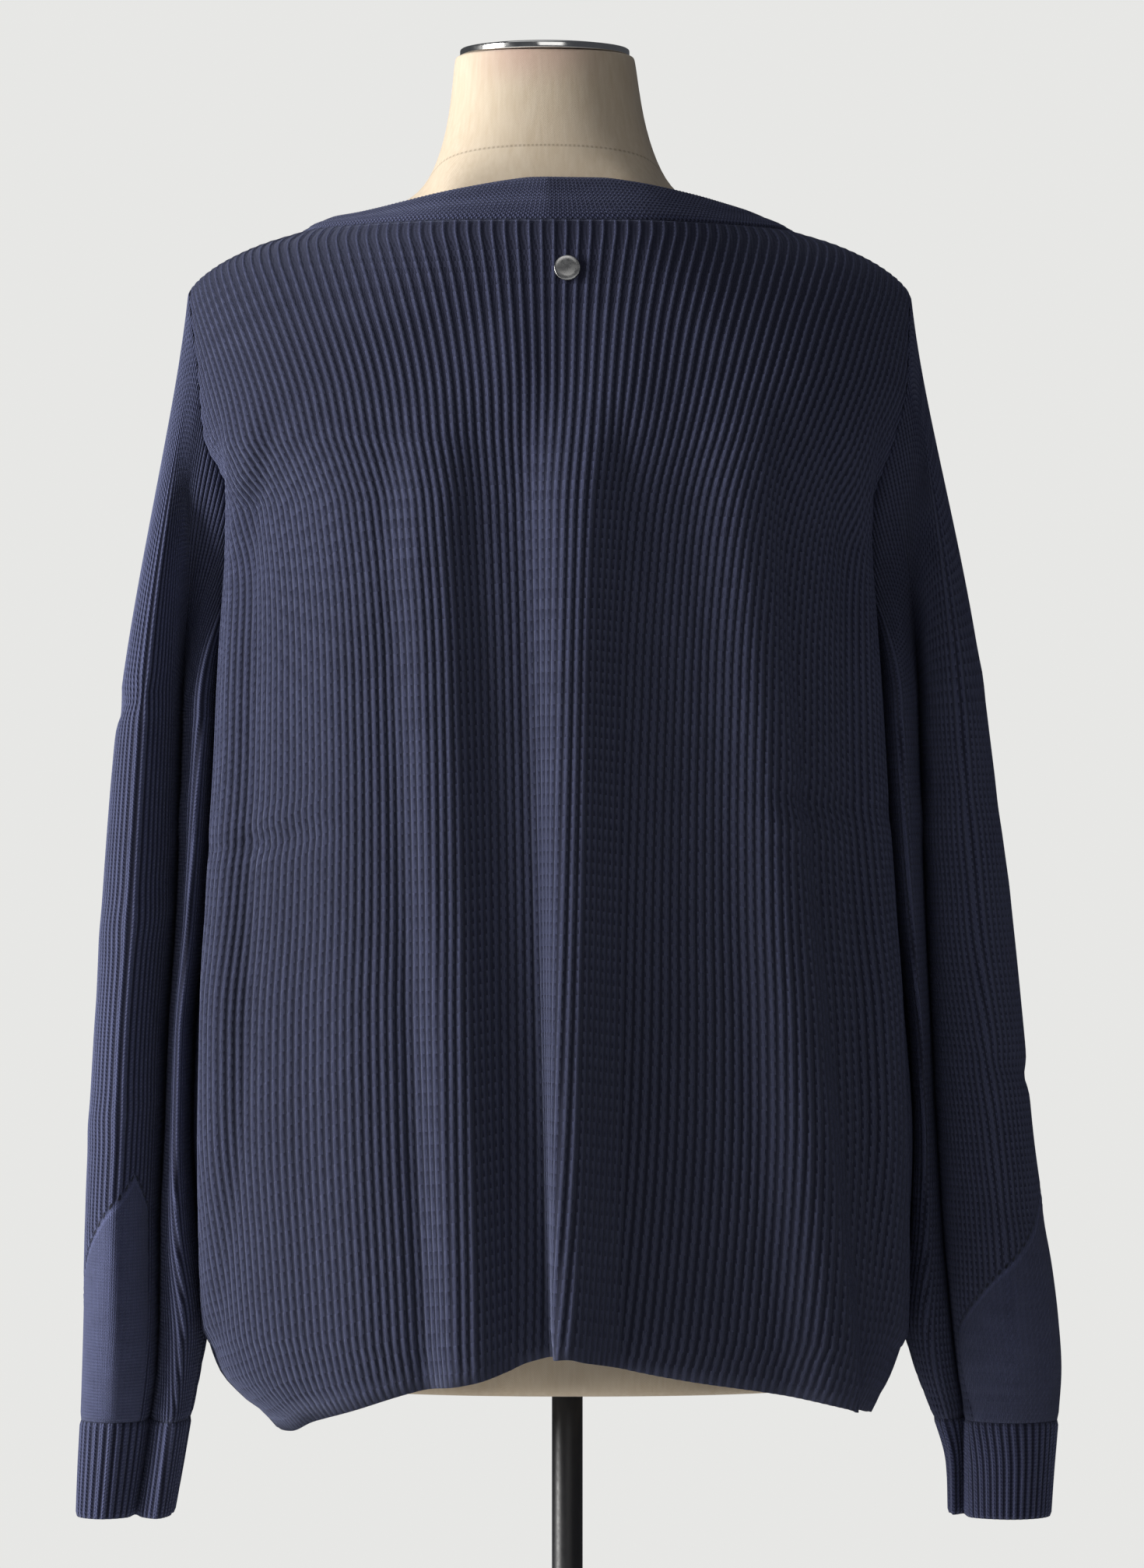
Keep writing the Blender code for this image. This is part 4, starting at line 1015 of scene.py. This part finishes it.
def finish_named(name):
    """A finish, made the first time it is asked for."""
    if name in CACHE:
        return CACHE[name]
    colours = bpy.context.scene.finishes
    metal, paint, floor = tuple(colours.metal), tuple(colours.paint), tuple(colours.floor)
    dull = tuple(0.6 * c for c in metal)
    makers = {
        "body knit": lambda: knit_finish("navy rib knit"),
        "sleeve knit": lambda: knit_finish("navy sleeve knit", jersey=True),
        "cuff knit": lambda: knit_finish("navy cuff knit"),
        "band knit": lambda: knit_finish("navy band knit"),
        "linen": linen_finish,
        "metal": lambda: hard_finish("polished metal", metal, 1.0, 0.08, 0.22, 0.00002, 120.0),
        "brushed": lambda: hard_finish("brushed metal", dull, 1.0, 0.2, 0.34, 0.00004, 260.0),
        "paint": lambda: hard_finish("black paint", paint, 0.0, 0.32, 0.48, 0.00004, 400.0),
        "floor": lambda: hard_finish("pale floor", floor, 0.0, 0.75, 0.9, 0.0002, 6.0),
    }
    CACHE[name] = makers[name]()
    return CACHE[name]


# ---------------------------------------------------------------- modelling by hand


def fresh_start():
    """Object mode with nothing selected."""
    if bpy.context.mode != "OBJECT":
        bpy.ops.object.mode_set(mode="OBJECT")
    bpy.ops.object.select_all(action="DESELECT")


def choose(test, kind="FACE"):
    """In edit mode, selects the faces or edges whose middle and direction pass the test."""
    mesh = bpy.context.edit_object.data
    bpy.ops.mesh.select_mode(type=kind)
    bpy.ops.mesh.select_all(action="DESELECT")
    made = bmesh.from_edit_mesh(mesh)
    if kind == "FACE":
        for face in made.faces:
            face.select_set(test(face.calc_center_median(), face.normal))
    else:
        for edge in made.edges:
            ends = [v.co for v in edge.verts]
            edge.select_set(test((ends[0] + ends[1]) / 2, ends[1] - ends[0]))
    bmesh.update_edit_mesh(mesh)


def turned(name, radius, low, high, x, y, sides):
    """A cylinder from low to high, in edit mode."""
    fresh_start()
    bpy.ops.mesh.primitive_cylinder_add(
        vertices=sides, radius=radius, depth=high - low, location=(x, y, (low + high) / 2)
    )
    obj = bpy.context.object
    obj.name = obj.data.name = name
    bpy.ops.object.transform_apply(location=True, rotation=True, scale=True)
    bpy.ops.object.mode_set(mode="EDIT")
    return obj


def round_rim(z, radius, x, y, offset, segments=3):
    """Bevels the level edge loop of this height and radius."""

    def on_rim(middle, run):
        level = abs(middle.z - z) < 1e-5 and abs(run.z) < 1e-6
        return level and abs(math.hypot(middle.x - x, middle.y - y) - radius) < radius * 0.02

    choose(on_rim, "EDGE")
    bpy.ops.mesh.bevel(offset=offset, segments=segments, affect="EDGES", clamp_overlap=True)


def choose_level(x, y, top=False):
    """Selects the level faces centred on an upright line, or with top only those that look up."""

    def test(middle, normal):
        level = normal.z if top else abs(normal.z)
        return level > 0.9 and math.hypot(middle.x - x, middle.y - y) < 0.001

    choose(test)


def step_in(steps, up=(0, 0, 1)):
    """Insets the chosen faces again and again, and each time moves them."""
    for inset, rise in steps:
        bpy.ops.mesh.inset(thickness=inset)
        bpy.ops.transform.translate(value=Vector(up) * rise)


def finished(obj, finish, angle=40):
    """Leaves edit mode, smooths by angle and gives the finish."""
    bpy.ops.object.mode_set(mode="EDIT")
    bpy.ops.mesh.select_all(action="SELECT")
    bpy.ops.mesh.normals_make_consistent(inside=False)
    bpy.ops.object.mode_set(mode="OBJECT")
    obj.data.materials.clear()
    obj.data.materials.append(finish)
    bpy.context.view_layer.objects.active = obj
    obj.select_set(True)
    bpy.ops.object.shade_smooth_by_angle(angle=math.radians(angle))
    return obj


class CARDIGAN_OT_form(bpy.types.Operator):
    """Smooths the linen form from its CAD node"""

    bl_idname = "cardigan.form"
    bl_label = "Linen form"

    def execute(self, context):
        fresh_start()
        obj = bpy.data.objects.new("linen_form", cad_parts["bust"].data.copy())
        context.scene.collection.objects.link(obj)
        context.view_layer.objects.active = obj
        obj.select_set(True)
        low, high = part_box("bust")
        bpy.ops.object.mode_set(mode="EDIT")
        bpy.ops.mesh.select_mode(type="VERT")
        bpy.ops.mesh.select_all(action="SELECT")
        bpy.ops.mesh.remove_doubles(threshold=0.00002)
        bpy.ops.mesh.tris_convert_to_quads(face_threshold=math.radians(60), shape_threshold=math.radians(60))
        for z in (low.z, high.z):
            choose(lambda middle, normal: abs(middle.z - z) < 1e-4 and abs(normal.z) > 0.9)
            bpy.ops.mesh.dissolve_faces()
            bpy.ops.mesh.select_mode(type="EDGE")
            bpy.ops.mesh.region_to_loop()
            bpy.ops.mesh.bevel(offset=0.0022, segments=2, affect="EDGES")
            choose(lambda middle, normal: abs(middle.z - z) < 1e-4 and abs(normal.z) > 0.9)
            bpy.ops.mesh.inset(thickness=0.004)
        bpy.ops.object.mode_set(mode="OBJECT")
        smooth_out = obj.modifiers.new("Smooth", "SUBSURF")
        smooth_out.levels = smooth_out.render_levels = 2
        bpy.ops.object.modifier_apply(modifier="Smooth")
        finished(obj, finish_named("linen"), 50)
        settle(obj, "linen", "bust")
        return {"FINISHED"}


class CARDIGAN_OT_cap(bpy.types.Operator):
    """Turns the polished metal cap on the neck"""

    bl_idname = "cardigan.cap"
    bl_label = "Neck cap"

    def execute(self, context):
        sizes = context.scene.form_sizes
        low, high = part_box("neck_cap")
        x, y = (low.x + high.x) / 2, (low.y + high.y) / 2
        top = low.z + sizes.cap_height
        obj = turned("neck_cap_metal", sizes.cap_radius, low.z, top, x, y, 128)
        round_rim(low.z, sizes.cap_radius, x, y, 0.0007)
        round_rim(top, sizes.cap_radius, x, y, 0.0012, 4)
        choose_level(x, y, top=True)
        step_in(((0.004, 0.0006), (0.010, 0.0008), (0.014, 0.0005)))
        settle(finished(obj, finish_named("metal"), 30), "bright_metal", "neck_cap")
        return {"FINISHED"}


class CARDIGAN_OT_stand(bpy.types.Operator):
    """Turns the pole, the collar under the form and the round base"""

    bl_idname = "cardigan.stand"
    bl_label = "Stand"

    def execute(self, context):
        sizes = context.scene.form_sizes
        low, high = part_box("stand_pole")
        radius = (high.x - low.x) / 2
        pole = turned("pole", radius, low.z, high.z, 0, 0, 64)
        round_rim(high.z, radius, 0, 0, 0.0006)
        settle(finished(pole, finish_named("paint"), 30), "black_paint", "stand_pole")

        low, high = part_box("stand_collar")
        wide, narrow, bore = (high.x - low.x) / 2, COLLAR_NARROW, radius + COLLAR_GAP
        flange = high.z - COLLAR_FLANGE
        collar = turned("collar", wide, flange, high.z, 0, 0, 64)
        choose(lambda middle, normal: normal.z < -0.9)
        bpy.ops.mesh.inset(thickness=wide - narrow)
        bpy.ops.mesh.extrude_region_move(TRANSFORM_OT_translate={"value": (0, 0, low.z - flange)})
        choose_level(0, 0)
        bpy.ops.mesh.inset(thickness=narrow - bore)
        choose_level(0, 0, top=True)
        bpy.ops.mesh.inset(thickness=wide - narrow)
        choose_level(0, 0)
        bpy.ops.mesh.bridge_edge_loops()
        round_rim(low.z, narrow, 0, 0, 0.0010)
        round_rim(flange, wide, 0, 0, 0.0006)
        settle(finished(collar, finish_named("paint"), 30), "black_paint", "stand_collar")

        low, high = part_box("stand_base")
        rim = high.z - BASE_CROWN
        base = turned("base", sizes.base_radius, low.z, rim, 0, 0, 160)
        round_rim(rim, sizes.base_radius, 0, 0, 0.003, 4)
        round_rim(low.z, sizes.base_radius, 0, 0, 0.0012, 2)
        choose_level(0, 0, top=True)
        step_in(((0.060, 0.0010), (0.060, 0.0012), (0.028, 0.0006)))
        settle(finished(base, finish_named("paint"), 30), "black_paint", "stand_base")
        return {"FINISHED"}


def knit_panel(name, panel, node):
    """A flat knitted piece draped on the form: ribs outside over a plain inside."""
    obj = shell(name, *panel, finish_named("body knit"))
    settle(obj, "navy_knit", node)


class CARDIGAN_OT_back(bpy.types.Operator):
    """Knits the back panel"""

    bl_idname = "cardigan.back"
    bl_label = "Back"

    def execute(self, context):
        cloth, sizes = worn_cloth(), knit_sizes()
        span = (0, RIBS_HALF)
        left, right = (panel_side(cloth, "back", side, span, BODY_ROWS, sizes) for side in ("left", "right"))
        right[3][..., 0] *= -1
        knit_panel("back_panel", joined_halves(left, right), "back")
        return {"FINISHED"}


class CARDIGAN_OT_fronts(bpy.types.Operator):
    """Knits the two fronts"""

    bl_idname = "cardigan.fronts"
    bl_label = "Fronts"

    def execute(self, context):
        cloth, sizes = worn_cloth(), knit_sizes()
        first = int(NECK_RIBS["ribs"][0])
        for side in ("left", "right"):
            panel = panel_side(cloth, "front", side, (first, RIBS_HALF), FRONT_ROWS, sizes)
            knit_panel("front_panel_" + side, panel, "front_" + side)
        return {"FINISHED"}


def along_strip(values, at, places):
    """Columns of values known along a strip, read at other places along it."""
    return np.stack([np.interp(places, at, values[:, k]) for k in range(values.shape[1])], axis=1)


def band_strip(cloth):
    """Base points and directions of the whole band, a row for each place from hem to hem."""
    points, normals = [], []
    across = np.linspace(0, 1, BAND_ACROSS)[None]
    for side in ("left", "right"):
        p, n = [], []
        for face, (q, z) in zip(("front", "back"), band_rows(cloth, side)):
            last = len(q) - 1
            ends = np.concatenate([q[:, [0, -1]], z[:, [0, -1]]], axis=1)
            fine = along_strip(ends, np.arange(len(q)), np.linspace(0, last, last * BAND_FINE + 1))
            fq = between(fine[:, :1], fine[:, 1:2], across)
            fz = between(fine[:, 2:3], fine[:, 3:4], across)
            p.append(cloth.point(face, side, fq, fz))
            n.append(cloth.normal(face, side, fq, fz))
        points.append(np.concatenate(p))
        normals.append(np.concatenate(n))
    return (np.concatenate([half[0], half[1][-2::-1]]) for half in (points, normals))


class CARDIGAN_OT_band(bpy.types.Operator):
    """Knits the fine-ribbed band round the neck and down the fronts"""

    bl_idname = "cardigan.band"
    bl_label = "Neck and front band"

    def execute(self, context):
        sizes = knit_sizes()
        base, normal = band_strip(worn_cloth())
        run = runs(base[:, BAND_ACROSS // 2])
        ribs = int(round(run[-1] / sizes.band_pitch / 3)) * 3
        at = np.linspace(0, run[-1], ribs * 2 + 1)
        keep = base.shape
        base = along_strip(base.reshape(keep[0], -1), run, at).reshape(len(at), keep[1], 3)
        normal = along_strip(normal.reshape(keep[0], -1), run, at).reshape(len(at), keep[1], 3)
        normal /= np.linalg.norm(normal, axis=-1, keepdims=True)
        base, normal = base.transpose(1, 0, 2), normal.transpose(1, 0, 2)
        across = np.linspace(0, 1, BAND_ACROSS)[:, None]
        crest = np.zeros(len(at))
        crest[1::2] = BAND_RIB_HEIGHT
        edge = np.sqrt(np.clip(1 - np.abs(2 * across - 1) ** 7, 0, 1))
        line = sum(np.exp(-(((across - c) / 0.035) ** 2)) for c in BAND_LINES)
        relief = (BAND_RAISE + crest[None]) * (0.25 + 0.75 * edge) - BAND_LINE_DEPTH * line
        pattern = np.stack([np.arange(len(at))[None] / 2 + 0 * across, across * 12 + 0 * at[None]], axis=-1)
        finish = finish_named("band knit")
        obj = shell("neck_and_front_band", base, normal, relief, pattern, finish, under=BAND_UNDER)
        settle(obj, "navy_knit", "neck_band")
        return {"FINISHED"}


def sleeve_shares(ribs):
    """Places of the rib columns round a tube, as shares of its length."""
    number, profile = rib_columns(ribs)
    return (number + np.array(RIB_PLACES)[profile]) / ribs


def placed(line, shares):
    """Points at these shares of an open line's length."""
    s = runs(line[:, :3])
    return np.stack([np.interp(shares * s[-1], s, values) for values in line.T], axis=1)


def ring_at(table, z, sign, shares):
    """A sleeve's section at one height, its points at these shares of its length."""
    ring = sleeve_ring(table, z, sign)
    return placed(np.concatenate([ring, ring[:1]]), shares)


def armhole_loop(cloth, side, shares, turn):
    """The armhole's edge and where its cloth faces: down the back to the underarm, then up the front."""
    corner = np.linspace(CORNER_Z, CORNER_Z - 0.02, 30)
    z = np.concatenate([corner, np.linspace(CORNER_Z - 0.0205, UNDERARM_Z, 300)])
    q = outer_rib(z - 1e-4) / ribs_at(SIDE_RIBS, z)
    back, front = (
        np.concatenate([cloth.point(face, side, q, z), cloth.normal(face, side, q, z)], axis=1)
        for face in FACES
    )
    down = placed(back, np.clip(shares / turn, 0, 1))
    up = placed(front[::-1], np.clip((shares - turn) / (1 - turn), 0, 1))
    loop = np.where(shares[:, None] < turn, down, up)
    loop[:, 3] = 0
    return loop


def sleeve_grid(cloth, side, ribs):
    """Base points of a sleeve, a row for each ring from the armhole to the cuff, and their directions."""
    sign, table = SLEEVES[side]
    shares = sleeve_shares(ribs)
    first = ring_at(table, SLEEVE_TOP_Z, sign, shares)
    edge = armhole_loop(cloth, side, shares, shares[np.abs(first[:, 0]).argmin()])
    start, facing = edge[:, :3].copy(), edge[:, 3:]
    low = 1 - step((start[:, 2:3] - UNDERARM_Z) / 0.08)
    start[:, 0] += sign * (SLEEVE_GAP + (UNDERARM_GAP - SLEEVE_GAP) * low[:, 0])
    # The head runs out and down from the armhole, and bends into the hanging tube
    push = np.clip(start[:, 2:3] - first[:, 2:3], 0.02, 0.3)
    outer = np.abs(first[:, :1])
    outer = (outer - outer.min()) / np.ptp(outer)
    spread = 0.03 * outer * push + (1 - outer) * (0.0012 + 0.08 * push)
    leave = start + np.concatenate([sign * spread, 0 * push, -0.30 * push], axis=1)
    arrive = first + np.concatenate([-sign * 0.055 * outer**2 * push, 0 * push, 0.42 * push], axis=1)
    rows = []
    for t in np.linspace(0, 1, HEAD_ROWS, endpoint=False) ** 1.25:
        a = 1 - t
        rows.append(a**3 * start + 3 * a * a * t * leave + 3 * a * t * t * arrive + t**3 * first)
    for z in np.linspace(SLEEVE_TOP_Z, CUFF_TOP + SEAM_GAP, SLEEVE_ROWS):
        rows.append(ring_at(table, z, sign, shares))
    grid = np.array(rows)
    normal = grid_normals(grid)
    for row, share in enumerate((1.0, 0.6, 0.25)):
        mixed = between(normal[row], between(facing, normal[row], low), share)
        normal[row] = mixed / np.linalg.norm(mixed, axis=1, keepdims=True)
    return grid, normal


def grid_normals(grid):
    """Directions out of a tube's grid of points."""
    across = np.roll(grid, -1, axis=1) - np.roll(grid, 1, axis=1)
    down = np.gradient(grid, axis=0)
    n = np.cross(across, down)
    n /= np.maximum(np.linalg.norm(n, axis=-1, keepdims=True), 1e-12)
    middle = grid.mean(axis=1, keepdims=True)
    return n if (n * (grid - middle)).sum() > 0 else -n


def signed_ribs(ribs):
    """Rib coordinate of each column, counted both ways from the outer line."""
    u = sleeve_shares(ribs) * ribs
    return np.where(u > ribs / 2, u - ribs, u)


def tube_piece(name, grid, normal, ribs, finish, node, eyelets=None, crease_table=None):
    """A knitted tube over rings of base points, with its mean length round and its area."""
    sizes = knit_sizes()
    profile = rib_columns(ribs)[1]
    u = signed_ribs(ribs)[None] + 0 * grid[..., 0]
    z = grid[..., 2]
    if crease_table:
        grid = grid + normal * tube_creases(crease_table, u, z, sizes.crease)[..., None]
    around = np.linalg.norm(np.roll(grid, -1, axis=1) - grid, axis=-1).sum(axis=1, keepdims=True)
    pitch = around / ribs
    relief = np.array(RIB_HEIGHTS)[profile][None] * sizes.rib_height * np.clip(RIB_PITCH / pitch, 0.5, 1.1)
    down = np.linalg.norm(np.diff(grid, axis=0), axis=-1).mean(axis=1)
    courses = np.concatenate([[0], np.cumsum(down)]) / sizes.course
    attributes = {}
    if eyelets:
        # Below the row the knit is plain. A groove runs along the row and a raised line beneath it
        top, rib0, fall, inner_rib = eyelets
        groove, deep = EYELET_GROOVE
        away, line, high = EYELET_LINE
        off = (z - (top - fall * np.abs(u - rib0))) / math.hypot(1, fall / SLEEVE_PITCH)
        off = off + 0.2 * step((u - inner_rib) / 2)
        plain = step((-off / 0.0022) + 0.5)
        relief = relief * (1 - plain) + plain * sizes.rib_height * 0.72
        relief = relief + high * np.exp(-(((off + away) / line) ** 2))
        relief = relief - deep * np.exp(-((off / groove) ** 2))
        attributes = {"eyelet_off": off * 1000, "eyelet_run": u - rib0}
    relief[[0, -1]] *= 0.3
    columns = np.append(sleeve_shares(ribs) * ribs, ribs)
    pattern = np.stack([columns[None] + 0 * courses[:, None], -courses[:, None] + 0 * columns[None]], axis=-1)
    obj = shell(name, grid, normal, relief, pattern, finish, closed=True, attributes=attributes)
    settle(obj, "navy_knit", node)
    return obj, float(around.mean()), sheet_area(grid, True)


def tube_creases(table, u, z, strength):
    """Height of the soft creases at ribs and heights on a tube."""
    total = np.zeros_like(u)
    for k in range(len(table["z"])):
        along = (u - table["rib"][k]) / table["long"][k]
        off = (z - table["z"][k] / 1000 - 0.0009 * (u - table["rib"][k])) / (table["wide"][k] / 1000)
        total += table["high"][k] / 1000 * np.exp(-(along**2) - off**2)
    return total * strength


class CARDIGAN_OT_sleeves(bpy.types.Operator):
    """Knits the two sleeves, ribbed above the eyelets and plain below"""

    bl_idname = "cardigan.sleeves"
    bl_label = "Sleeves"

    def execute(self, context):
        cloth = worn_cloth()
        for side in SLEEVES:
            grid, normal = sleeve_grid(cloth, side, SLEEVE_RIBS)
            obj, _, area = tube_piece(
                "sleeve_knit_" + side,
                grid,
                normal,
                SLEEVE_RIBS,
                finish_named("sleeve knit"),
                "sleeve_" + side,
                EYELETS[side],
                SLEEVE_CREASES[side],
            )
        return {"FINISHED"}


class CARDIGAN_OT_cuffs(bpy.types.Operator):
    """Knits the ribbed cuffs"""

    bl_idname = "cardigan.cuffs"
    bl_label = "Cuffs"

    def execute(self, context):
        shares = sleeve_shares(CUFF_RIBS)
        heights = np.linspace(CUFF_TOP, CUFF_END, CUFF_ROWS)
        for side, (sign, table) in SLEEVES.items():
            grid = np.array([ring_at(table, z, sign, shares) for z in heights])
            finish = finish_named("cuff knit")
            normal = grid_normals(grid)
            obj, around, _ = tube_piece("cuff_knit_" + side, grid, normal, CUFF_RIBS, finish, "cuff_" + side)
        return {"FINISHED"}


class CARDIGAN_OT_disc(bpy.types.Operator):
    """Turns the small plain metal disc on the back"""

    bl_idname = "cardigan.disc"
    bl_label = "Metal disc"

    def execute(self, context):
        radius = context.scene.form_sizes.disc_radius
        low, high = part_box("disc")
        cloth = worn_cloth()
        z = np.array([(low.z + high.z) / 2])
        q = cloth.middle(z) / cloth.length("back", "right", z)
        normal = Vector(cloth.normal("back", "right", q, z)[0])
        out = knit_sizes().rib_height + DISC_OUT
        centre = Vector(cloth.point("back", "right", q, z)[0]) + normal * out
        turn = Vector((0, 0, 1)).rotation_difference(normal).to_euler()
        fresh_start()
        bpy.ops.mesh.primitive_cylinder_add(
            vertices=64, radius=radius, depth=DISC_THICK, location=centre, rotation=turn
        )
        obj = bpy.context.object
        obj.name = obj.data.name = "disc_metal"
        bpy.ops.object.transform_apply(location=True, rotation=True, scale=True)
        bpy.ops.object.mode_set(mode="EDIT")
        bpy.ops.mesh.select_mode(type="FACE")
        choose(lambda middle, direction: direction.dot(normal) > 0.9)
        bpy.ops.mesh.bevel(offset=0.0003, segments=3, affect="EDGES")
        choose(lambda middle, direction: direction.dot(normal) > 0.99 and (middle - centre).length < 0.002)
        step_in(((0.0009, -0.0003), (0.0015, 0.0002)), normal)
        settle(finished(obj, finish_named("brushed"), 30), "bright_metal", "disc")
        return {"FINISHED"}


def area_light(name, place, aim, size, power, tint):
    """A soft rectangular light at a place, turned to its aim."""
    data = bpy.data.lights.new(name, "AREA")
    data.shape = "RECTANGLE"
    data.size, data.size_y = size
    data.energy = power
    data.color = tint
    obj = bpy.data.objects.new(name, data)
    obj.location = place
    obj.rotation_euler = (Vector(aim) - Vector(place)).to_track_quat("-Z", "Y").to_euler()
    bpy.context.scene.collection.objects.link(obj)


class CARDIGAN_OT_stage(bpy.types.Operator):
    """Sets the floor, the soft lights, the pale surroundings and the camera"""

    bl_idname = "cardigan.stage"
    bl_label = "Studio"

    def execute(self, context):
        fresh_start()
        bpy.ops.mesh.primitive_cylinder_add(
            vertices=128, radius=FLOOR_RADIUS, depth=0.02, location=(0, 0, -0.0102)
        )
        floor = bpy.context.object
        floor.name = floor.data.name = "floor"
        bpy.ops.object.transform_apply(location=True, rotation=True, scale=True)
        finished(floor, finish_named("floor"))
        for light in LIGHTS:
            area_light(*light)
        world = bpy.data.worlds.new("studio")
        context.scene.world = world
        world.use_nodes = True
        n = Nodes(world.node_tree)
        world.node_tree.nodes.remove(world.node_tree.nodes["Background"])
        seen = n.add("ShaderNodeBackground", {0: (*context.scene.finishes.backdrop, 1), 1: 1.0})
        ambient = n.add("ShaderNodeBackground", {0: (0.86, 0.90, 1.0, 1), 1: AMBIENT})
        ray = n.add("ShaderNodeLightPath").outputs["Is Camera Ray"]
        both = n.add("ShaderNodeMixShader", {0: ray, 1: ambient.outputs[0], 2: seen.outputs[0]})
        n.fill(world.node_tree.nodes["World Output"], {"Surface": both.outputs[0]})
        context.scene.view_settings.view_transform = "Standard"
        data = bpy.data.cameras.new("camera")
        data.sensor_width = 36
        data.lens = CAMERA_LENS
        camera = bpy.data.objects.new("camera", data)
        camera.location = CAMERA_PLACE
        camera.rotation_euler = (math.pi / 2, 0, math.pi)
        context.scene.collection.objects.link(camera)
        context.scene.camera = camera
        return {"FINISHED"}


OPERATORS = (
    CARDIGAN_OT_form,
    CARDIGAN_OT_cap,
    CARDIGAN_OT_stand,
    CARDIGAN_OT_back,
    CARDIGAN_OT_fronts,
    CARDIGAN_OT_band,
    CARDIGAN_OT_sleeves,
    CARDIGAN_OT_cuffs,
    CARDIGAN_OT_disc,
    CARDIGAN_OT_stage,
)


class CARDIGAN_PT_panel(bpy.types.Panel):
    """Lists the cardigan's sizes, colours and pieces"""

    bl_label = "Cardigan"
    bl_idname = "CARDIGAN_PT_panel"
    bl_space_type = "VIEW_3D"
    bl_region_type = "UI"
    bl_category = "Cardigan"

    def draw(self, context):
        column = self.layout.column(align=True)
        for operator in OPERATORS:
            column.operator(operator.bl_idname)
        for group in (context.scene.knit_sizes, context.scene.form_sizes, context.scene.finishes):
            box = self.layout.box()
            for key in group.__annotations__:
                box.prop(group, key)


CLASSES = (KnitSizes, FormSizes, Finishes, *OPERATORS, CARDIGAN_PT_panel)


def register():
    """Adds the operators, the panel and the scene's sizes and colours."""
    for made in CLASSES:
        bpy.utils.register_class(made)
    bpy.types.Scene.knit_sizes = bpy.props.PointerProperty(type=KnitSizes)
    bpy.types.Scene.form_sizes = bpy.props.PointerProperty(type=FormSizes)
    bpy.types.Scene.finishes = bpy.props.PointerProperty(type=Finishes)


def unregister():
    """Takes away what register added."""
    del bpy.types.Scene.finishes
    del bpy.types.Scene.form_sizes
    del bpy.types.Scene.knit_sizes
    for made in reversed(CLASSES):
        bpy.utils.unregister_class(made)


def main():
    """Makes every piece and the studio."""
    register()
    bpy.ops.cardigan.form()
    bpy.ops.cardigan.cap()
    bpy.ops.cardigan.stand()
    bpy.ops.cardigan.back()
    bpy.ops.cardigan.fronts()
    bpy.ops.cardigan.band()
    bpy.ops.cardigan.sleeves()
    bpy.ops.cardigan.cuffs()
    bpy.ops.cardigan.disc()
    bpy.ops.cardigan.stage()


if __name__ == "__main__":
    main()
